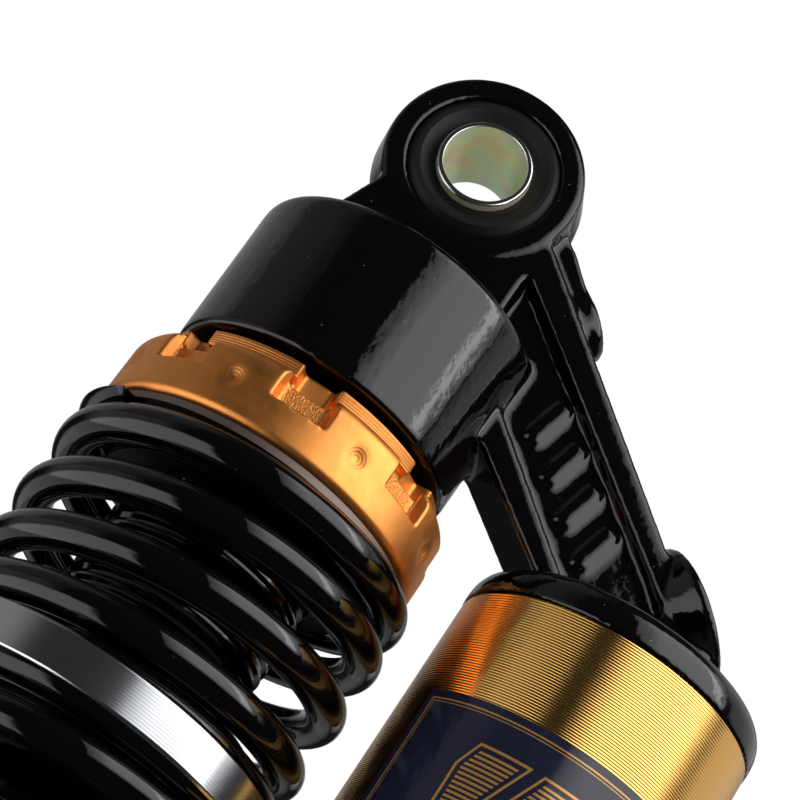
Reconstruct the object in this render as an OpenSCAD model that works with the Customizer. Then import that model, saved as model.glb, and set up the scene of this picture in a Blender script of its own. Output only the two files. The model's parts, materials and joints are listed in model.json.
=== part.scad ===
// Rear shock absorber with a piggyback gas reservoir, for a motorcycle.
// Millimetres. The origin is the centre of the upper eye, +Z runs up the damper from the lower
// eye to the upper eye, +X points to the reservoir and the eyes are bored along Y.

/* [Overall] */
// Distance between the centres of the two eyes
eye_to_eye = 320; // [310:1:335]
// How far the lower half slides into the upper half
stroke = 48; // [30:1:48]

/* [Eyes] */
// Outer diameter of the upper eye at its middle
eye_od = 36.2; // [35:0.2:38]
// Width of the upper eye's casting
eye_width = 17.6; // [15:0.2:18]
// How much smaller the eye's radius is at its faces than at its middle
eye_draft = 1.15; // [0.3:0.05:1.3]
// Bore of the upper eye's steel sleeve
sleeve_bore = 14; // [10:0.5:14.5]
// Wall of both steel sleeves
sleeve_wall = 1; // [0.8:0.1:1.4]
// Length of both steel sleeves
sleeve_length = 19; // [18.4:0.2:21]
// Outer diameter of both rubber bushes
rubber_od = 25.4; // [24:0.2:27]
// How far the rubber's round lip stands in from the sleeve's end
rubber_lip_drop = 0.4; // [0.2:0.1:0.6]
// Outer diameter of the lower eye
lower_eye_od = 35; // [33:0.5:37]
// Bore of the lower eye's steel sleeve
lower_sleeve_bore = 12; // [10:0.5:13]

/* [Head] */
// Drop from the eye's centre to the top of the cylinder head
head_drop = 25.3; // [24.8:0.1:28]
// Height of the cylinder head
head_height = 28; // [25:0.1:28.5]
// Diameter of the cylinder head at its top
head_top_d = 51; // [50.6:0.1:55]
// Diameter of the cylinder head at its bottom
head_bottom_d = 50.2; // [49.6:0.2:52]
// Radius of the cylinder head's top edge
head_edge_r = 1.8; // [1:0.2:3.4]
// Half the thickness of the web and of the arm
web_half_t = 8.3; // [7:0.1:8.4]
// Height of the oil gallery above the tube
gallery_height = 5.4; // [3:0.2:7]

/* [Arm] */
// Angle of the arm's outer edge below level
arm_slope = 40.5; // [39.5:0.1:41.5]
// Angle of the arm's inner edge below level
inner_slope = 37.1; // [36:0.1:38.5]
// Half the thickness of the arm's floor between its ribs
arm_floor_half_t = 5.2; // [4.4:0.1:6]
// Width of the outer rib at its upper end
outer_rib_top_w = 5.7; // [5:0.1:6.5]
// Width of the outer rib at its lower end
outer_rib_low_w = 3.9; // [3.5:0.1:5]
// Width of the inner rib at its upper end
inner_rib_top_w = 5.3; // [4.5:0.1:6]
// Width of the inner rib at its lower end
inner_rib_low_w = 3.7; // [3:0.1:4.5]
// Number of raised bars on the arm's floor
bar_count = 4; // [0:1:5]
// Height of the raised bars
bar_height = 0.9; // [0.4:0.1:1.5]
// Length of a raised bar
bar_length = 8.4; // [5:0.2:9]
// Width of a raised bar
bar_width = 2.6; // [1.5:0.1:3.5]
// Diameter of the upper plug boss
upper_boss_d = 12.6; // [11.4:0.2:16]
// Diameter of the lower plug boss
lower_boss_d = 24; // [20:0.5:28]
// Distance of the upper boss down the arm's outer edge
upper_boss_s = 11.1; // [10:0.1:14]
// Distance of the lower boss down the arm's outer edge
lower_boss_s = 63.7; // [62:0.1:65]
// How far the upper boss stands out of the arm's outer edge
upper_boss_h = 4.2; // [3:0.1:5]
// How far the lower boss stands out of the arm's outer edge
lower_boss_h = 2.5; // [1.4:0.1:4]
// How far the land between the eye and the upper boss stands out
land_h = 4.3; // [3:0.1:4.6]
// Half the width of the raised land between the eye and the upper boss
land_half_w = 5.5; // [4:0.1:6]
// Diameter of the drilled oil passages
passage_d = 3; // [2:0.1:3.4]

/* [Reservoir] */
// Distance between the damper's axis and the reservoir's axis
reservoir_offset = 61.4; // [60.5:0.1:63]
// Outer diameter of the gold reservoir tube
reservoir_od = 50.4; // [49.6:0.2:51]
// Bore of the reservoir tube
reservoir_bore = 44; // [42:0.5:45]
// Length of gold tube that shows under the cap
reservoir_length = 83; // [75:1:95]
// Outer diameter of the reservoir's black cap
cap_od = 50.8; // [50.6:0.1:53]
// Drop from the eye's centre to the top of the cap
cap_drop = 58.3; // [57.5:0.1:59]
// Height of the cap
cap_height = 6.6; // [6:0.1:8]
// Radius of the cap's top edge
cap_edge_r = 4; // [2:0.2:5]
// Depth of the tube's spigot inside the cap
spigot_depth = 4.2; // [4:0.1:4.4]
// Thickness of the reservoir's end cap
end_cap_t = 8.5; // [7:0.5:10]
// Thickness of the floating piston
float_t = 12; // [10:0.5:16]
// Height of the floating piston's band
float_band_h = 5; // [4:0.5:8]
// Depth of the groove for that band
float_groove = 1.5; // [1:0.1:2]
// Radius of the dish in the floating piston's lower face
float_dish_r = 17; // [14:0.5:18]
// Distance of the floating piston below the cap's rim
float_drop = 34; // [25:1:40]

/* [Reservoir label] */
// Distance of the label's top edge below the cap's rim
label_drop = 18.4; // [12:0.2:22]
// Height of the label
label_h = 40; // [30:1:45]
// Angle that the label takes of the tube
label_angle = 132; // [90:1:160]
// Direction that the label faces
label_facing = -81; // [-120:1:-60]
// Thickness of the label
label_t = 0.15; // [0.1:0.05:0.3]

/* [Preload collar] */
// Diameter of the collar's body
collar_od = 57.7; // [56:0.1:59]
// Height of the collar's body
collar_height = 12.4; // [11:0.2:14]
// Radius of the shoulder between the collar's side and its top
collar_shoulder_r = 2.6; // [1:0.1:3]
// Radius of the collar's lower lip
collar_lip_r = 1.2; // [0.5:0.1:1.6]
// Diameter of the collar's neck
neck_d = 51; // [49.6:0.2:51.4]
// Height of the collar's neck above the shoulder
neck_height = 2.6; // [2:0.1:4]
// Gap between the neck and the head with the collar screwed right up
neck_gap = 1.7; // [0.4:0.1:2]
// Number of notches, and of dimples between them
notch_count = 8; // [6:1:8]
// Direction of the first notch
notch_facing = -86.1; // [-110:0.1:-60]
// Width of a notch at the collar's side
notch_w = 10; // [8:0.2:12]
// Width of a notch at its back
notch_back_w = 7.4; // [6:0.2:9]
// Depth of a notch below the shoulder
notch_depth = 5.9; // [5:0.1:7]
// Depth of the groove between the shoulder and the neck
groove_depth = 2; // [1:0.1:3]
// Angle between the slots in the neck, in two groups of three
slot_step = 54; // [45:1:60]
// Width of a slot in the neck
slot_w = 6.8; // [4:0.2:8]
// Depth of the slots into the neck
slot_depth = 3; // [1.5:0.1:3.5]
// Diameter of a dimple
dimple_d = 4.4; // [3:0.2:5.5]
// Depth of a dimple
dimple_depth = 1.3; // [0.8:0.1:2]
// Distance of the dimples above the collar's lower edge
dimple_rise = 6.3; // [5:0.1:7]
// Diameter of the collar's spigot inside the spring
collar_spigot_d = 45; // [40:0.5:47]
// Length of the collar's spigot below its body
collar_spigot_l = 7; // [4:0.5:9]
// Travel of the collar down its thread
preload_travel = 4; // [2:0.5:4]
// Diameter of the washer between the collar and the spring
washer_od = 56; // [54:0.2:57]
// Thickness of that washer
washer_t = 1.2; // [0.8:0.1:2]

/* [Damper] */
// Outer diameter of the damper tube
tube_od = 34; // [32:0.5:36]
// Bore of the damper tube
tube_bore = 30; // [28:0.5:30.5]
// Drop from the eye's centre to the bottom of the tube
tube_drop = 195; // [190:1:196]
// Depth of the tube inside the head
tube_socket = 15; // [10:0.5:16]
// Spacing of the tube's outer threads
thread_pitch = 2; // [1.5:0.25:3]
// Depth of the tube's outer threads
thread_depth = 0.6; // [0.3:0.1:0.8]
// Length of thread below the head
thread_length = 58; // [40:1:80]
// Diameter of the shaft
shaft_d = 12; // [11:0.5:13]
// Diameter of the shaft's stud through the piston
stud_d = 8; // [7:0.5:9]
// Length of the seal head
seal_head_l = 20; // [18:0.5:24]
// Outer diameter of the shaft's oil seal and wiper
seal_od = 20; // [18:0.5:22]
// Outer diameter of the shaft's guide bush
guide_od = 16; // [15:0.5:17]
// Length of the guide bush
guide_l = 10; // [8:0.5:10.5]
// Thickness of the top-out bumper
topout_t = 4; // [2:0.5:6]
// Outer diameter of the top-out bumper
topout_od = 22.6; // [20:0.1:24]
// Thickness of the piston
piston_t = 12; // [10:0.5:16]
// Height of the piston band
band_h = 6; // [4:0.5:8]
// Number of oil ports through the piston
port_count = 6; // [4:1:8]
// Diameter of an oil port
port_d = 3; // [2:0.5:3.5]
// Thickness of one shim
shim_t = 0.3; // [0.2:0.05:0.4]
// Outer diameter of the shim next to the piston
shim_od = 22; // [20:0.5:24]
// How much smaller in radius each next shim is
shim_step = 0.9; // [0.5:0.1:1.2]
// Number of shims in a stack
shim_count = 4; // [3:1:6]
// Width across the flats of the piston nut
piston_nut_af = 15; // [13:0.5:17]
// Height of the piston nut
piston_nut_h = 6; // [5:0.5:8]

/* [Springs] */
// Diameter of the spring wire
wire_d = 6.25; // [5.5:0.05:6.5]
// Outer diameter of both springs
spring_od = 62; // [61:0.1:63]
// Length of the short upper spring
upper_spring_l = 39.1; // [37:0.1:42]
// Turns of the upper spring, its closed ends included
upper_turns = 4.9; // [4.4:0.1:5]
// Turns of the lower spring, its closed ends included
lower_turns = 12.5; // [10.5:0.1:13]
// Thickness left at the tip of a ground spring end
tip_t = 1.4; // [1:0.1:2]
// Space between an end turn and the next one at the tip
end_turn_gap = 0.15; // [0.1:0.05:0.4]
// Direction of the wire's tips
tip_facing = -139; // [-180:1:180]

/* [Separator] */
// How far the separator's band stands out past the springs
separator_proud = 0; // [-1:0.1:0.5]
// Height of the separator's band
separator_h = 7.1; // [6:0.1:9]
// Chamfer of the band's edges
separator_chamfer = 0.5; // [0.2:0.1:0.8]
// Space between a spigot of the separator and the spring around it
spigot_gap = 0.55; // [0.3:0.05:1.5]
// Length of each spigot
separator_spigot_l = 5; // [3:0.2:6]
// How far outside the middle between tube and spigot the separator's bore lies
separator_bore_shift = 0.9; // [-1:0.1:1.5]
// Distance that the separator follows for each unit of stroke
separator_share = 0.15; // [0.1:0.01:0.15]

/* [Lower end] */
// Rise from the lower eye's centre to the lower spring's seat
seat_rise = 52; // [50:0.5:54]
// Outer diameter of the lower spring seat
seat_od = 66; // [64:0.5:68]
// Thickness of the seat's rim
seat_rim_t = 4; // [3:0.2:6]
// Outer diameter of the seat's hub
seat_hub_d = 34; // [31:0.5:36]
// Height of the seat's inner spigot
seat_spigot_h = 6; // [4:0.5:7]
// Wall of the seat's inner spigot
seat_spigot_wall = 3.5; // [2:0.1:4]
// Diameter of the lower eye's neck
neck_shank_d = 24; // [22:0.5:26]
// Rise from the lower eye's centre to the top of its neck
neck_rise = 48; // [47:0.5:49]
// Depth of the shaft's socket in the neck
shaft_socket = 20; // [15:0.5:22]
// Rise from the lower eye's centre to the circlip that carries the seat
circlip_rise = 30; // [29:0.5:33]
// Thickness of the circlips
circlip_t = 1.5; // [1.2:0.1:2]
// Width across the flats of the shaft's lock nut
lock_nut_af = 19; // [17:0.5:22]
// Height of the shaft's lock nut
lock_nut_h = 7; // [5:0.5:8]
// Diameter of the bump stop
bump_od = 27; // [24:0.5:30]
// Height of the bump stop
bump_h = 18; // [12:0.5:18.5]
// Thickness of the bump stop's cup
bump_cup_t = 1.5; // [1:0.1:2]

/* [Rebound adjuster] */
// Diameter of the rebound knob
knob_od = 38; // [35:0.5:42]
// Number of grips round the knob
knob_grips = 20; // [12:1:28]
// Depth of a grip
knob_grip_depth = 0.9; // [0.5:0.1:1.2]
// Diameter of the rod inside the shaft
rod_d = 4; // [3:0.1:5]
// Travel of the rod over the knob's range
rod_travel = 1.5; // [1:0.1:2]
// Length of the needle on the rod's top
needle_l = 6; // [4:0.5:8]
// Diameter of the cross pin
cross_pin_d = 2.4; // [2:0.1:3]

/* [Clearances] */
// Radial clearance between pieces that fit into each other
fit_gap = 0.05; // [0.02:0.01:0.08]
// Gap between faces that rest on each other
face_gap = 0.05; // [0.02:0.01:0.1]
// Gap beside the rebound knob
knob_gap = 0.3; // [0.2:0.1:0.6]
// Gap round the separator's guide on the tube
guide_gap = 0.3; // [0.2:0.1:0.5]

/* [Hidden] */
$fn = 96;

// Finishes
black_paint = "#17181a";
gold = "#c8862b";
pale_gold = "#d9b04a";
polished = "#c9ccd0";
steel = "#9a9ea3";
chrome = "#dfe3e8";
rubber = "#111112";
brass = "#b99a4b";
bronze = "#a9743c";
nylon = "#d8d5cb";
zinc = "#b9bf9c";

// Heights of the upper end, from the eye's centre down
head_top_z = -head_drop;
head_bottom_z = head_top_z - head_height;
collar_top_z = head_bottom_z - neck_gap;
shoulder_z = collar_top_z - neck_height;
collar_bottom_z = shoulder_z - collar_height;
washer_top_z = collar_bottom_z - face_gap;
washer_bottom_z = washer_top_z - washer_t;
upper_spring_top_z = washer_bottom_z - face_gap;
upper_spring_bottom_z = upper_spring_top_z - upper_spring_l;
separator_top_z = upper_spring_bottom_z - face_gap;
separator_bottom_z = separator_top_z - separator_h;
lower_spring_top_z = separator_bottom_z - face_gap;

// Heights of the lower end, from the lower eye's centre up
lower_z = -eye_to_eye;
seat_z = lower_z + seat_rise;
neck_top_z = lower_z + neck_rise;
lower_spring_bottom_z = seat_z + face_gap;
lower_spring_l = lower_spring_top_z - lower_spring_bottom_z;
circlip_z = lower_z + circlip_rise;
hub_bottom_z = circlip_z + circlip_t + 2 * face_gap;
shaft_bottom_z = neck_top_z - shaft_socket;
knob_top_z = circlip_z - knob_gap;
shelf_z = lower_z + lower_eye_od / 2;
knob_bottom_z = shelf_z + knob_gap;
lock_nut_top_z = neck_top_z + face_gap + lock_nut_h;
bump_cup_z = lock_nut_top_z + face_gap;
bump_z = bump_cup_z + bump_cup_t + face_gap;

// Heights inside the damper
tube_top_z = head_bottom_z + tube_socket;
tube_bottom_z = -tube_drop;
gallery_top_z = tube_top_z + gallery_height;
groove_rise = 1.6;
seal_clip_z = tube_bottom_z + groove_rise;
seal_head_bottom_z = seal_clip_z + circlip_t + face_gap;
seal_head_top_z = seal_head_bottom_z + seal_head_l;
shaft_shoulder_z = seal_head_top_z + face_gap + topout_t;
shim_stack = shim_t * shim_count;
piston_bottom_z = shaft_shoulder_z + shim_stack + 2 * face_gap;
piston_top_z = piston_bottom_z + piston_t;
piston_nut_z = piston_top_z + shim_stack + 2 * face_gap;
stud_top_z = piston_nut_z + piston_nut_h + 1;

// The reservoir
cap_top_z = -cap_drop;
cap_rim_z = cap_top_z - cap_height;
reservoir_top_z = cap_rim_z - face_gap;
reservoir_bottom_z = reservoir_top_z - reservoir_length;
cap_socket_z = cap_rim_z + spigot_depth;
cap_socket_r = reservoir_od / 2 - 0.95;
end_clip_z = reservoir_bottom_z + groove_rise;
end_cap_z = end_clip_z + circlip_t + face_gap;
float_z = cap_rim_z - float_drop - float_t;
valve_r = 4;
valve_l = 10;
valve_z = end_cap_z - valve_l;

// The arm's outer edge: a start point, a direction and a normal
edge_start = [17.24, -6.21];
edge_dir = [cos(arm_slope), -sin(arm_slope)];
edge_out = [sin(arm_slope), cos(arm_slope)];
function along(s, out = 0) = edge_start + s * edge_dir + out * edge_out;
arm_length = (cap_drop + 1 + edge_start[1]) / sin(arm_slope);
recess_length = 63;

// The arm's inner edge, in the same way
inner_start = [25.2, -42.8];
function inner(s, out = 0) = inner_start + s * [cos(inner_slope), -sin(inner_slope)]
    + out * [sin(inner_slope), cos(inner_slope)];
inner_length = (cap_drop + 1.5 + inner_start[1]) / sin(inner_slope);
recess_x = 15;

spring_r = (spring_od - wire_d) / 2;
separator_od = spring_od + 2 * separator_proud;
separator_spigot_d = spring_od - 2 * wire_d - 2 * spigot_gap;
separator_bore = (separator_spigot_d + tube_od) / 2 + 2 * separator_bore_shift;
tube_r = tube_od / 2;
bore_r = tube_bore / 2;
shaft_r = shaft_d / 2;
stud_r = stud_d / 2;
neck_r = neck_shank_d / 2;
ring_section = 1.85;

// Points of an arc, for the outlines that follow
function arc(x, y, r, from, to, steps = 6) =
    [for (i = [0 : steps]) let (a = from + (to - from) * i / steps) [x + r * cos(a), y + r * sin(a)]];

module turned(points) { rotate_extrude() polygon(points); }

module ring(outer_r, inner_r, z, h) {
    turned([[inner_r, z], [outer_r, z], [outer_r, z + h], [inner_r, z + h]]);
}

module across(points, half_t) {
    rotate([90, 0, 0]) linear_extrude(2 * half_t, center = true) polygon(points);
}

module o_ring(r, z, section = ring_section) {
    rotate_extrude() translate([r, z]) circle(d = section, $fn = 24);
}

module snap_ring(inner_r, outer_r, z, opening) {
    difference() {
        ring(outer_r, inner_r, z, circlip_t);
        translate([0, -opening / 2, z - 1]) cube([2 * outer_r, opening, circlip_t + 2]);
    }
}

module hex_nut(flats, bore, z, h) {
    difference() {
        translate([0, 0, z]) cylinder(d = flats / cos(30), h = h, $fn = 6);
        translate([0, 0, z - 1]) cylinder(d = bore, h = h + 2);
    }
}

// ---- Eyes -------------------------------------------------------------------------------

module eye_barrel(od, half_w, draft) {
    edge = 0.9;
    face_r = od / 2 - draft;
    rotate([90, 0, 0]) turned(concat(
        [[0, -half_w]], arc(face_r - edge, -half_w + edge, edge, -90, 0, 4), [[od / 2, 0]],
        arc(face_r - edge, half_w - edge, edge, 0, 90, 4), [[0, half_w]]));
}

module eye_hole(half_w) {
    rotate([90, 0, 0]) cylinder(d = rubber_od + 2 * fit_gap, h = 2 * half_w + 2, center = true);
}

module bush_rubber(bore) {
    inner_r = bore / 2 + sleeve_wall + fit_gap;
    outer_r = rubber_od / 2;
    lip = sleeve_length / 2 - rubber_lip_drop;
    lip_r = (inner_r + outer_r) / 2 + 0.7;
    half = [[inner_r, lip - 1.3], [inner_r + 0.8, lip - 1.3], [lip_r - 0.9, lip - 0.35],
        [lip_r - 0.3, lip], [lip_r + 0.5, lip], [outer_r - 0.5, lip - 0.6], [outer_r, lip - 1.1]];
    rotate([90, 0, 0]) turned(concat(
        half, [for (i = [len(half) - 1 : -1 : 0]) [half[i][0], -half[i][1]]]));
}

module bush_sleeve(bore) {
    chamfer = 0.25;
    half = sleeve_length / 2;
    inner_r = bore / 2;
    outer_r = inner_r + sleeve_wall;
    rotate([90, 0, 0]) turned([[inner_r, -half], [outer_r - chamfer, -half],
        [outer_r, -half + chamfer], [outer_r, half - chamfer], [outer_r - chamfer, half],
        [inner_r, half]]);
}

module upper_bush_rubber() { color(rubber) bush_rubber(sleeve_bore); }
module upper_bush_sleeve() { color(zinc) bush_sleeve(sleeve_bore); }
module lower_bush_rubber() { color(rubber) translate([0, 0, lower_z]) bush_rubber(lower_sleeve_bore); }
module lower_bush_sleeve() { color(zinc) translate([0, 0, lower_z]) bush_sleeve(lower_sleeve_bore); }

// ---- Head casting -----------------------------------------------------------------------

// The web from the eye down into the head
module head_web() {
    across([[-12.7, -10], [-20.1, -30], [recess_x + 1, -30], [recess_x + 1, -8], [10, -4]],
        web_half_t);
}

module arm_plate() {
    across([along(-6), along(arm_length), [reservoir_offset + 6, cap_top_z - 2],
        inner(inner_length), inner(-14), [recess_x - 3, -30], [recess_x - 3, -8]], web_half_t);
}

// The hollow between the arm's two ribs, on one face
module arm_recess(side) {
    floor_z = cap_top_z + 0.6;
    outline = [along(1.9, -outer_rib_top_w), along(recess_length, -outer_rib_low_w),
        [along(recess_length, -outer_rib_low_w)[0], floor_z],
        [inner(inner_length - 3, inner_rib_low_w)[0], floor_z], inner(inner_length - 3, inner_rib_low_w),
        inner(-4.6, inner_rib_top_w), [recess_x, -30], [recess_x, -12]];
    depth = web_half_t - arm_floor_half_t;
    translate([0, side * (arm_floor_half_t + depth), 0]) across(outline, depth);
}

// Raised bars that stiffen the arm's floor
module arm_bars() {
    for (i = [0 : bar_count - 1]) {
        middle = along(28 + 7.4 * i, -outer_rib_top_w - 4.6);
        translate([middle[0], 0, middle[1]]) rotate([0, arm_slope + 64, 0])
            cube([bar_length, 2 * (arm_floor_half_t + bar_height), bar_width], center = true);
    }
}

// Places a shape on the arm's outer edge, with its +Z pointing out of the arm
module on_edge(s, out) {
    p = along(s, out);
    translate([p[0], 0, p[1]]) rotate([0, arm_slope, 0]) children();
}

// A round boss whose root tapers into the arm
module plug_boss(s, d, h) {
    round_r = 0.9;
    root_r = min(d / 2, web_half_t) - 0.1;
    root_h = d / 2 - root_r + 0.4;
    on_edge(s, h) turned(concat([[0, -h - root_h]], [[root_r, -h - root_h]],
        arc(d / 2 - round_r, -round_r, round_r, 0, 90, 5), [[0, 0]]));
}

// The raised land between the eye and the upper boss
module boss_land() {
    across([along(-8, -4), along(-8, land_h - 0.4), along(1.5, land_h),
        along(4, upper_boss_h - 0.2), along(upper_boss_s, upper_boss_h - 0.2),
        along(upper_boss_s, -1)], land_half_w);
}

plug_d = [7, 11];
plug_l = [5, 5];
plug_s = [upper_boss_s, lower_boss_s];
plug_out = [upper_boss_h, lower_boss_h];
plug_sink = 1;

module plug_holes() {
    reach = [34, 24];
    for (i = [0, 1]) on_edge(plug_s[i], plug_out[i]) {
        translate([0, 0, -plug_sink - plug_l[i]])
            cylinder(d = plug_d[i] + 2 * fit_gap, h = plug_l[i] + plug_sink + 1);
        translate([0, 0, -reach[i]]) cylinder(d = passage_d, h = reach[i]);
    }
    // the passage that joins the two, inside the outer rib
    start = along(upper_boss_s, -2.7);
    translate([start[0], 0, start[1]]) rotate([0, 90 + arm_slope, 0])
        cylinder(d = passage_d, h = lower_boss_s - upper_boss_s);
}

module cylinder_head() {
    r = head_top_d / 2;
    turned(concat([[0, head_bottom_z], [head_bottom_d / 2 - 0.5, head_bottom_z],
        [head_bottom_d / 2, head_bottom_z + 0.5]],
        arc(r - head_edge_r, head_top_z - head_edge_r, head_edge_r, 0, 90, 6), [[0, head_top_z]]));
}

module reservoir_cap() {
    r = cap_od / 2;
    translate([reservoir_offset, 0, 0]) turned(concat([[0, cap_rim_z], [r - 0.4, cap_rim_z],
        [r, cap_rim_z + 0.4]],
        arc(r - cap_edge_r, cap_top_z - cap_edge_r, cap_edge_r, 0, 90, 6), [[0, cap_top_z]]));
}

module head_casting() {
    half_w = eye_width / 2;
    color(black_paint) difference() {
        union() {
            eye_barrel(eye_od, half_w, eye_draft);
            head_web();
            difference() {
                arm_plate();
                arm_recess(-1);
                arm_recess(1);
            }
            arm_bars();
            cylinder_head();
            reservoir_cap();
            boss_land();
            plug_boss(upper_boss_s, upper_boss_d, upper_boss_h);
            plug_boss(lower_boss_s, lower_boss_d, lower_boss_h);
        }
        eye_hole(half_w);
        translate([0, 0, head_bottom_z - 1]) cylinder(r = tube_r + fit_gap, h = tube_socket + 1 + face_gap);
        translate([0, 0, tube_top_z]) cylinder(r = bore_r, h = gallery_height);
        translate([reservoir_offset, 0, cap_rim_z - 1])
            cylinder(r = cap_socket_r + fit_gap, h = spigot_depth + 1);
        plug_holes();
    }
}

module passage_plugs() {
    color(steel) for (i = [0, 1]) on_edge(plug_s[i], plug_out[i] - plug_sink)
        difference() {
            translate([0, 0, 0.9 - plug_l[i]]) cylinder(d = plug_d[i], h = plug_l[i] - 0.9);
            translate([0, 0, -plug_l[i] / 2]) cylinder(d = plug_d[i] / 2, h = plug_l[i], $fn = 6);
        }
}

module plug_washers() {
    color(bronze) for (i = [0, 1]) on_edge(plug_s[i], plug_out[i] - plug_sink)
        difference() {
            translate([0, 0, face_gap - plug_l[i]]) cylinder(d = plug_d[i], h = 0.8);
            translate([0, 0, -plug_l[i] - 1]) cylinder(d = passage_d, h = 3);
        }
}

// ---- Reservoir --------------------------------------------------------------------------

module at_reservoir() { translate([reservoir_offset, 0, 0]) children(); }

reservoir_bore_r = reservoir_bore / 2;
clip_depth = 0.9;
float_r = reservoir_bore_r - fit_gap;

module reservoir_body() {
    r = reservoir_od / 2;
    spigot_top_z = cap_socket_z - face_gap;
    groove = 1;
    groove_z = (reservoir_top_z + spigot_top_z) / 2;
    color(pale_gold) at_reservoir() difference() {
        turned([[reservoir_bore_r, reservoir_bottom_z], [r - 0.6, reservoir_bottom_z],
            [r, reservoir_bottom_z + 0.6], [r, reservoir_top_z], [cap_socket_r, reservoir_top_z],
            [cap_socket_r, groove_z - groove], [cap_socket_r - groove, groove_z - groove],
            [cap_socket_r - groove, groove_z + groove], [cap_socket_r, groove_z + groove],
            [cap_socket_r, spigot_top_z], [reservoir_bore_r, spigot_top_z]]);
        ring(reservoir_bore_r + clip_depth, reservoir_bore_r - 1, end_clip_z - face_gap,
            circlip_t + 2 * face_gap);
    }
}

module reservoir_oring() {
    groove = 1;
    z = (reservoir_top_z + cap_socket_z - face_gap) / 2;
    color(rubber) at_reservoir() o_ring(cap_socket_r - groove / 2 + fit_gap / 2, z, groove);
}

module reservoir_end_cap() {
    groove = 2;
    groove_z = end_cap_z + end_cap_t / 2;
    color(black_paint) at_reservoir() difference() {
        turned([[0, end_cap_z], [float_r, end_cap_z], [float_r, groove_z - 1.2],
            [float_r - groove, groove_z - 1.2], [float_r - groove, groove_z + 1.2],
            [float_r, groove_z + 1.2], [float_r, end_cap_z + end_cap_t],
            [0, end_cap_z + end_cap_t]]);
        translate([0, 0, end_cap_z - 1]) cylinder(r = valve_r + fit_gap, h = end_cap_t + 2);
    }
}

module end_cap_oring() {
    color(rubber) at_reservoir() o_ring(float_r - 1, end_cap_z + end_cap_t / 2, ring_section);
}

module end_cap_circlip() {
    color(steel) at_reservoir()
        snap_ring(reservoir_bore_r - 2, reservoir_bore_r + clip_depth - face_gap, end_clip_z, 9);
}

module gas_valve_stem() {
    flange = 1.2;
    core_r = 2;
    color(brass) at_reservoir() difference() {
        union() {
            translate([0, 0, valve_z]) cylinder(r = valve_r, h = valve_l + end_cap_t + 1);
            translate([0, 0, end_cap_z - face_gap - flange])
                cylinder(r = valve_r + 2.5, h = flange, $fn = 6);
        }
        translate([0, 0, valve_z - 1]) cylinder(r = core_r + fit_gap, h = valve_l + end_cap_t + 3);
    }
}

module gas_valve_core() {
    color(steel) at_reservoir() union() {
        translate([0, 0, valve_z + 1]) cylinder(r = 2, h = 8);
        translate([0, 0, valve_z + 0.2]) cylinder(r = 0.7, h = 1);
    }
}

module gas_valve_cap() {
    wall = 1.2;
    top = 1.4;
    depth = 6.5;
    r = valve_r + fit_gap + wall;
    z = valve_z - face_gap - top;
    color(black_paint) at_reservoir() difference() {
        turned([[0, z], [r - 0.8, z], [r, z + 0.8], [r, z + top + depth], [0, z + top + depth]]);
        translate([0, 0, valve_z - face_gap]) cylinder(r = valve_r + fit_gap, h = depth + 1);
        for (i = [0 : 11]) rotate([0, 0, 30 * i]) translate([r + 0.35, 0, z + 1.2])
            cylinder(d = 1.3, h = depth + top, $fn = 16);
    }
}

module floating_piston() {
    z0 = float_z + (float_t - float_band_h) / 2 - face_gap;
    z1 = float_z + (float_t + float_band_h) / 2 + face_gap;
    color(steel) at_reservoir() difference() {
        turned([[0, float_z], [float_r - 0.4, float_z], [float_r, float_z + 0.4], [float_r, z0],
            [float_r - float_groove, z0], [float_r - float_groove, z1], [float_r, z1],
            [float_r, float_z + float_t - 0.4], [float_r - 0.4, float_z + float_t],
            [0, float_z + float_t]]);
        translate([0, 0, float_z - 1])
            cylinder(r1 = float_dish_r, r2 = float_dish_r - 3, h = float_t - 2.5);
    }
}

module floating_piston_band() {
    color(nylon) at_reservoir()
        ring(float_r + fit_gap / 2, float_r - float_groove + fit_gap,
            float_z + (float_t - float_band_h) / 2, float_band_h);
}

module reservoir_label() {
    r = reservoir_od / 2 + face_gap / 2;
    top_z = cap_rim_z - label_drop;
    color("#1d1f2c") at_reservoir() rotate([0, 0, label_facing - label_angle / 2])
        rotate_extrude(angle = label_angle) translate([r, top_z - label_h]) square([label_t, label_h]);
}

// ---- Preload collar ---------------------------------------------------------------------

// A cut that is wider at its outer radius than at its back
module flared_cut(back_r, outer_r, back_w, outer_w, z, h) {
    flare = (outer_w - back_w) / (outer_r - back_r);
    end_w = outer_w + flare;
    translate([0, 0, z]) linear_extrude(h) polygon([[back_r, -back_w / 2], [outer_r + 1, -end_w / 2],
        [outer_r + 1, end_w / 2], [back_r, back_w / 2]]);
}

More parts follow.
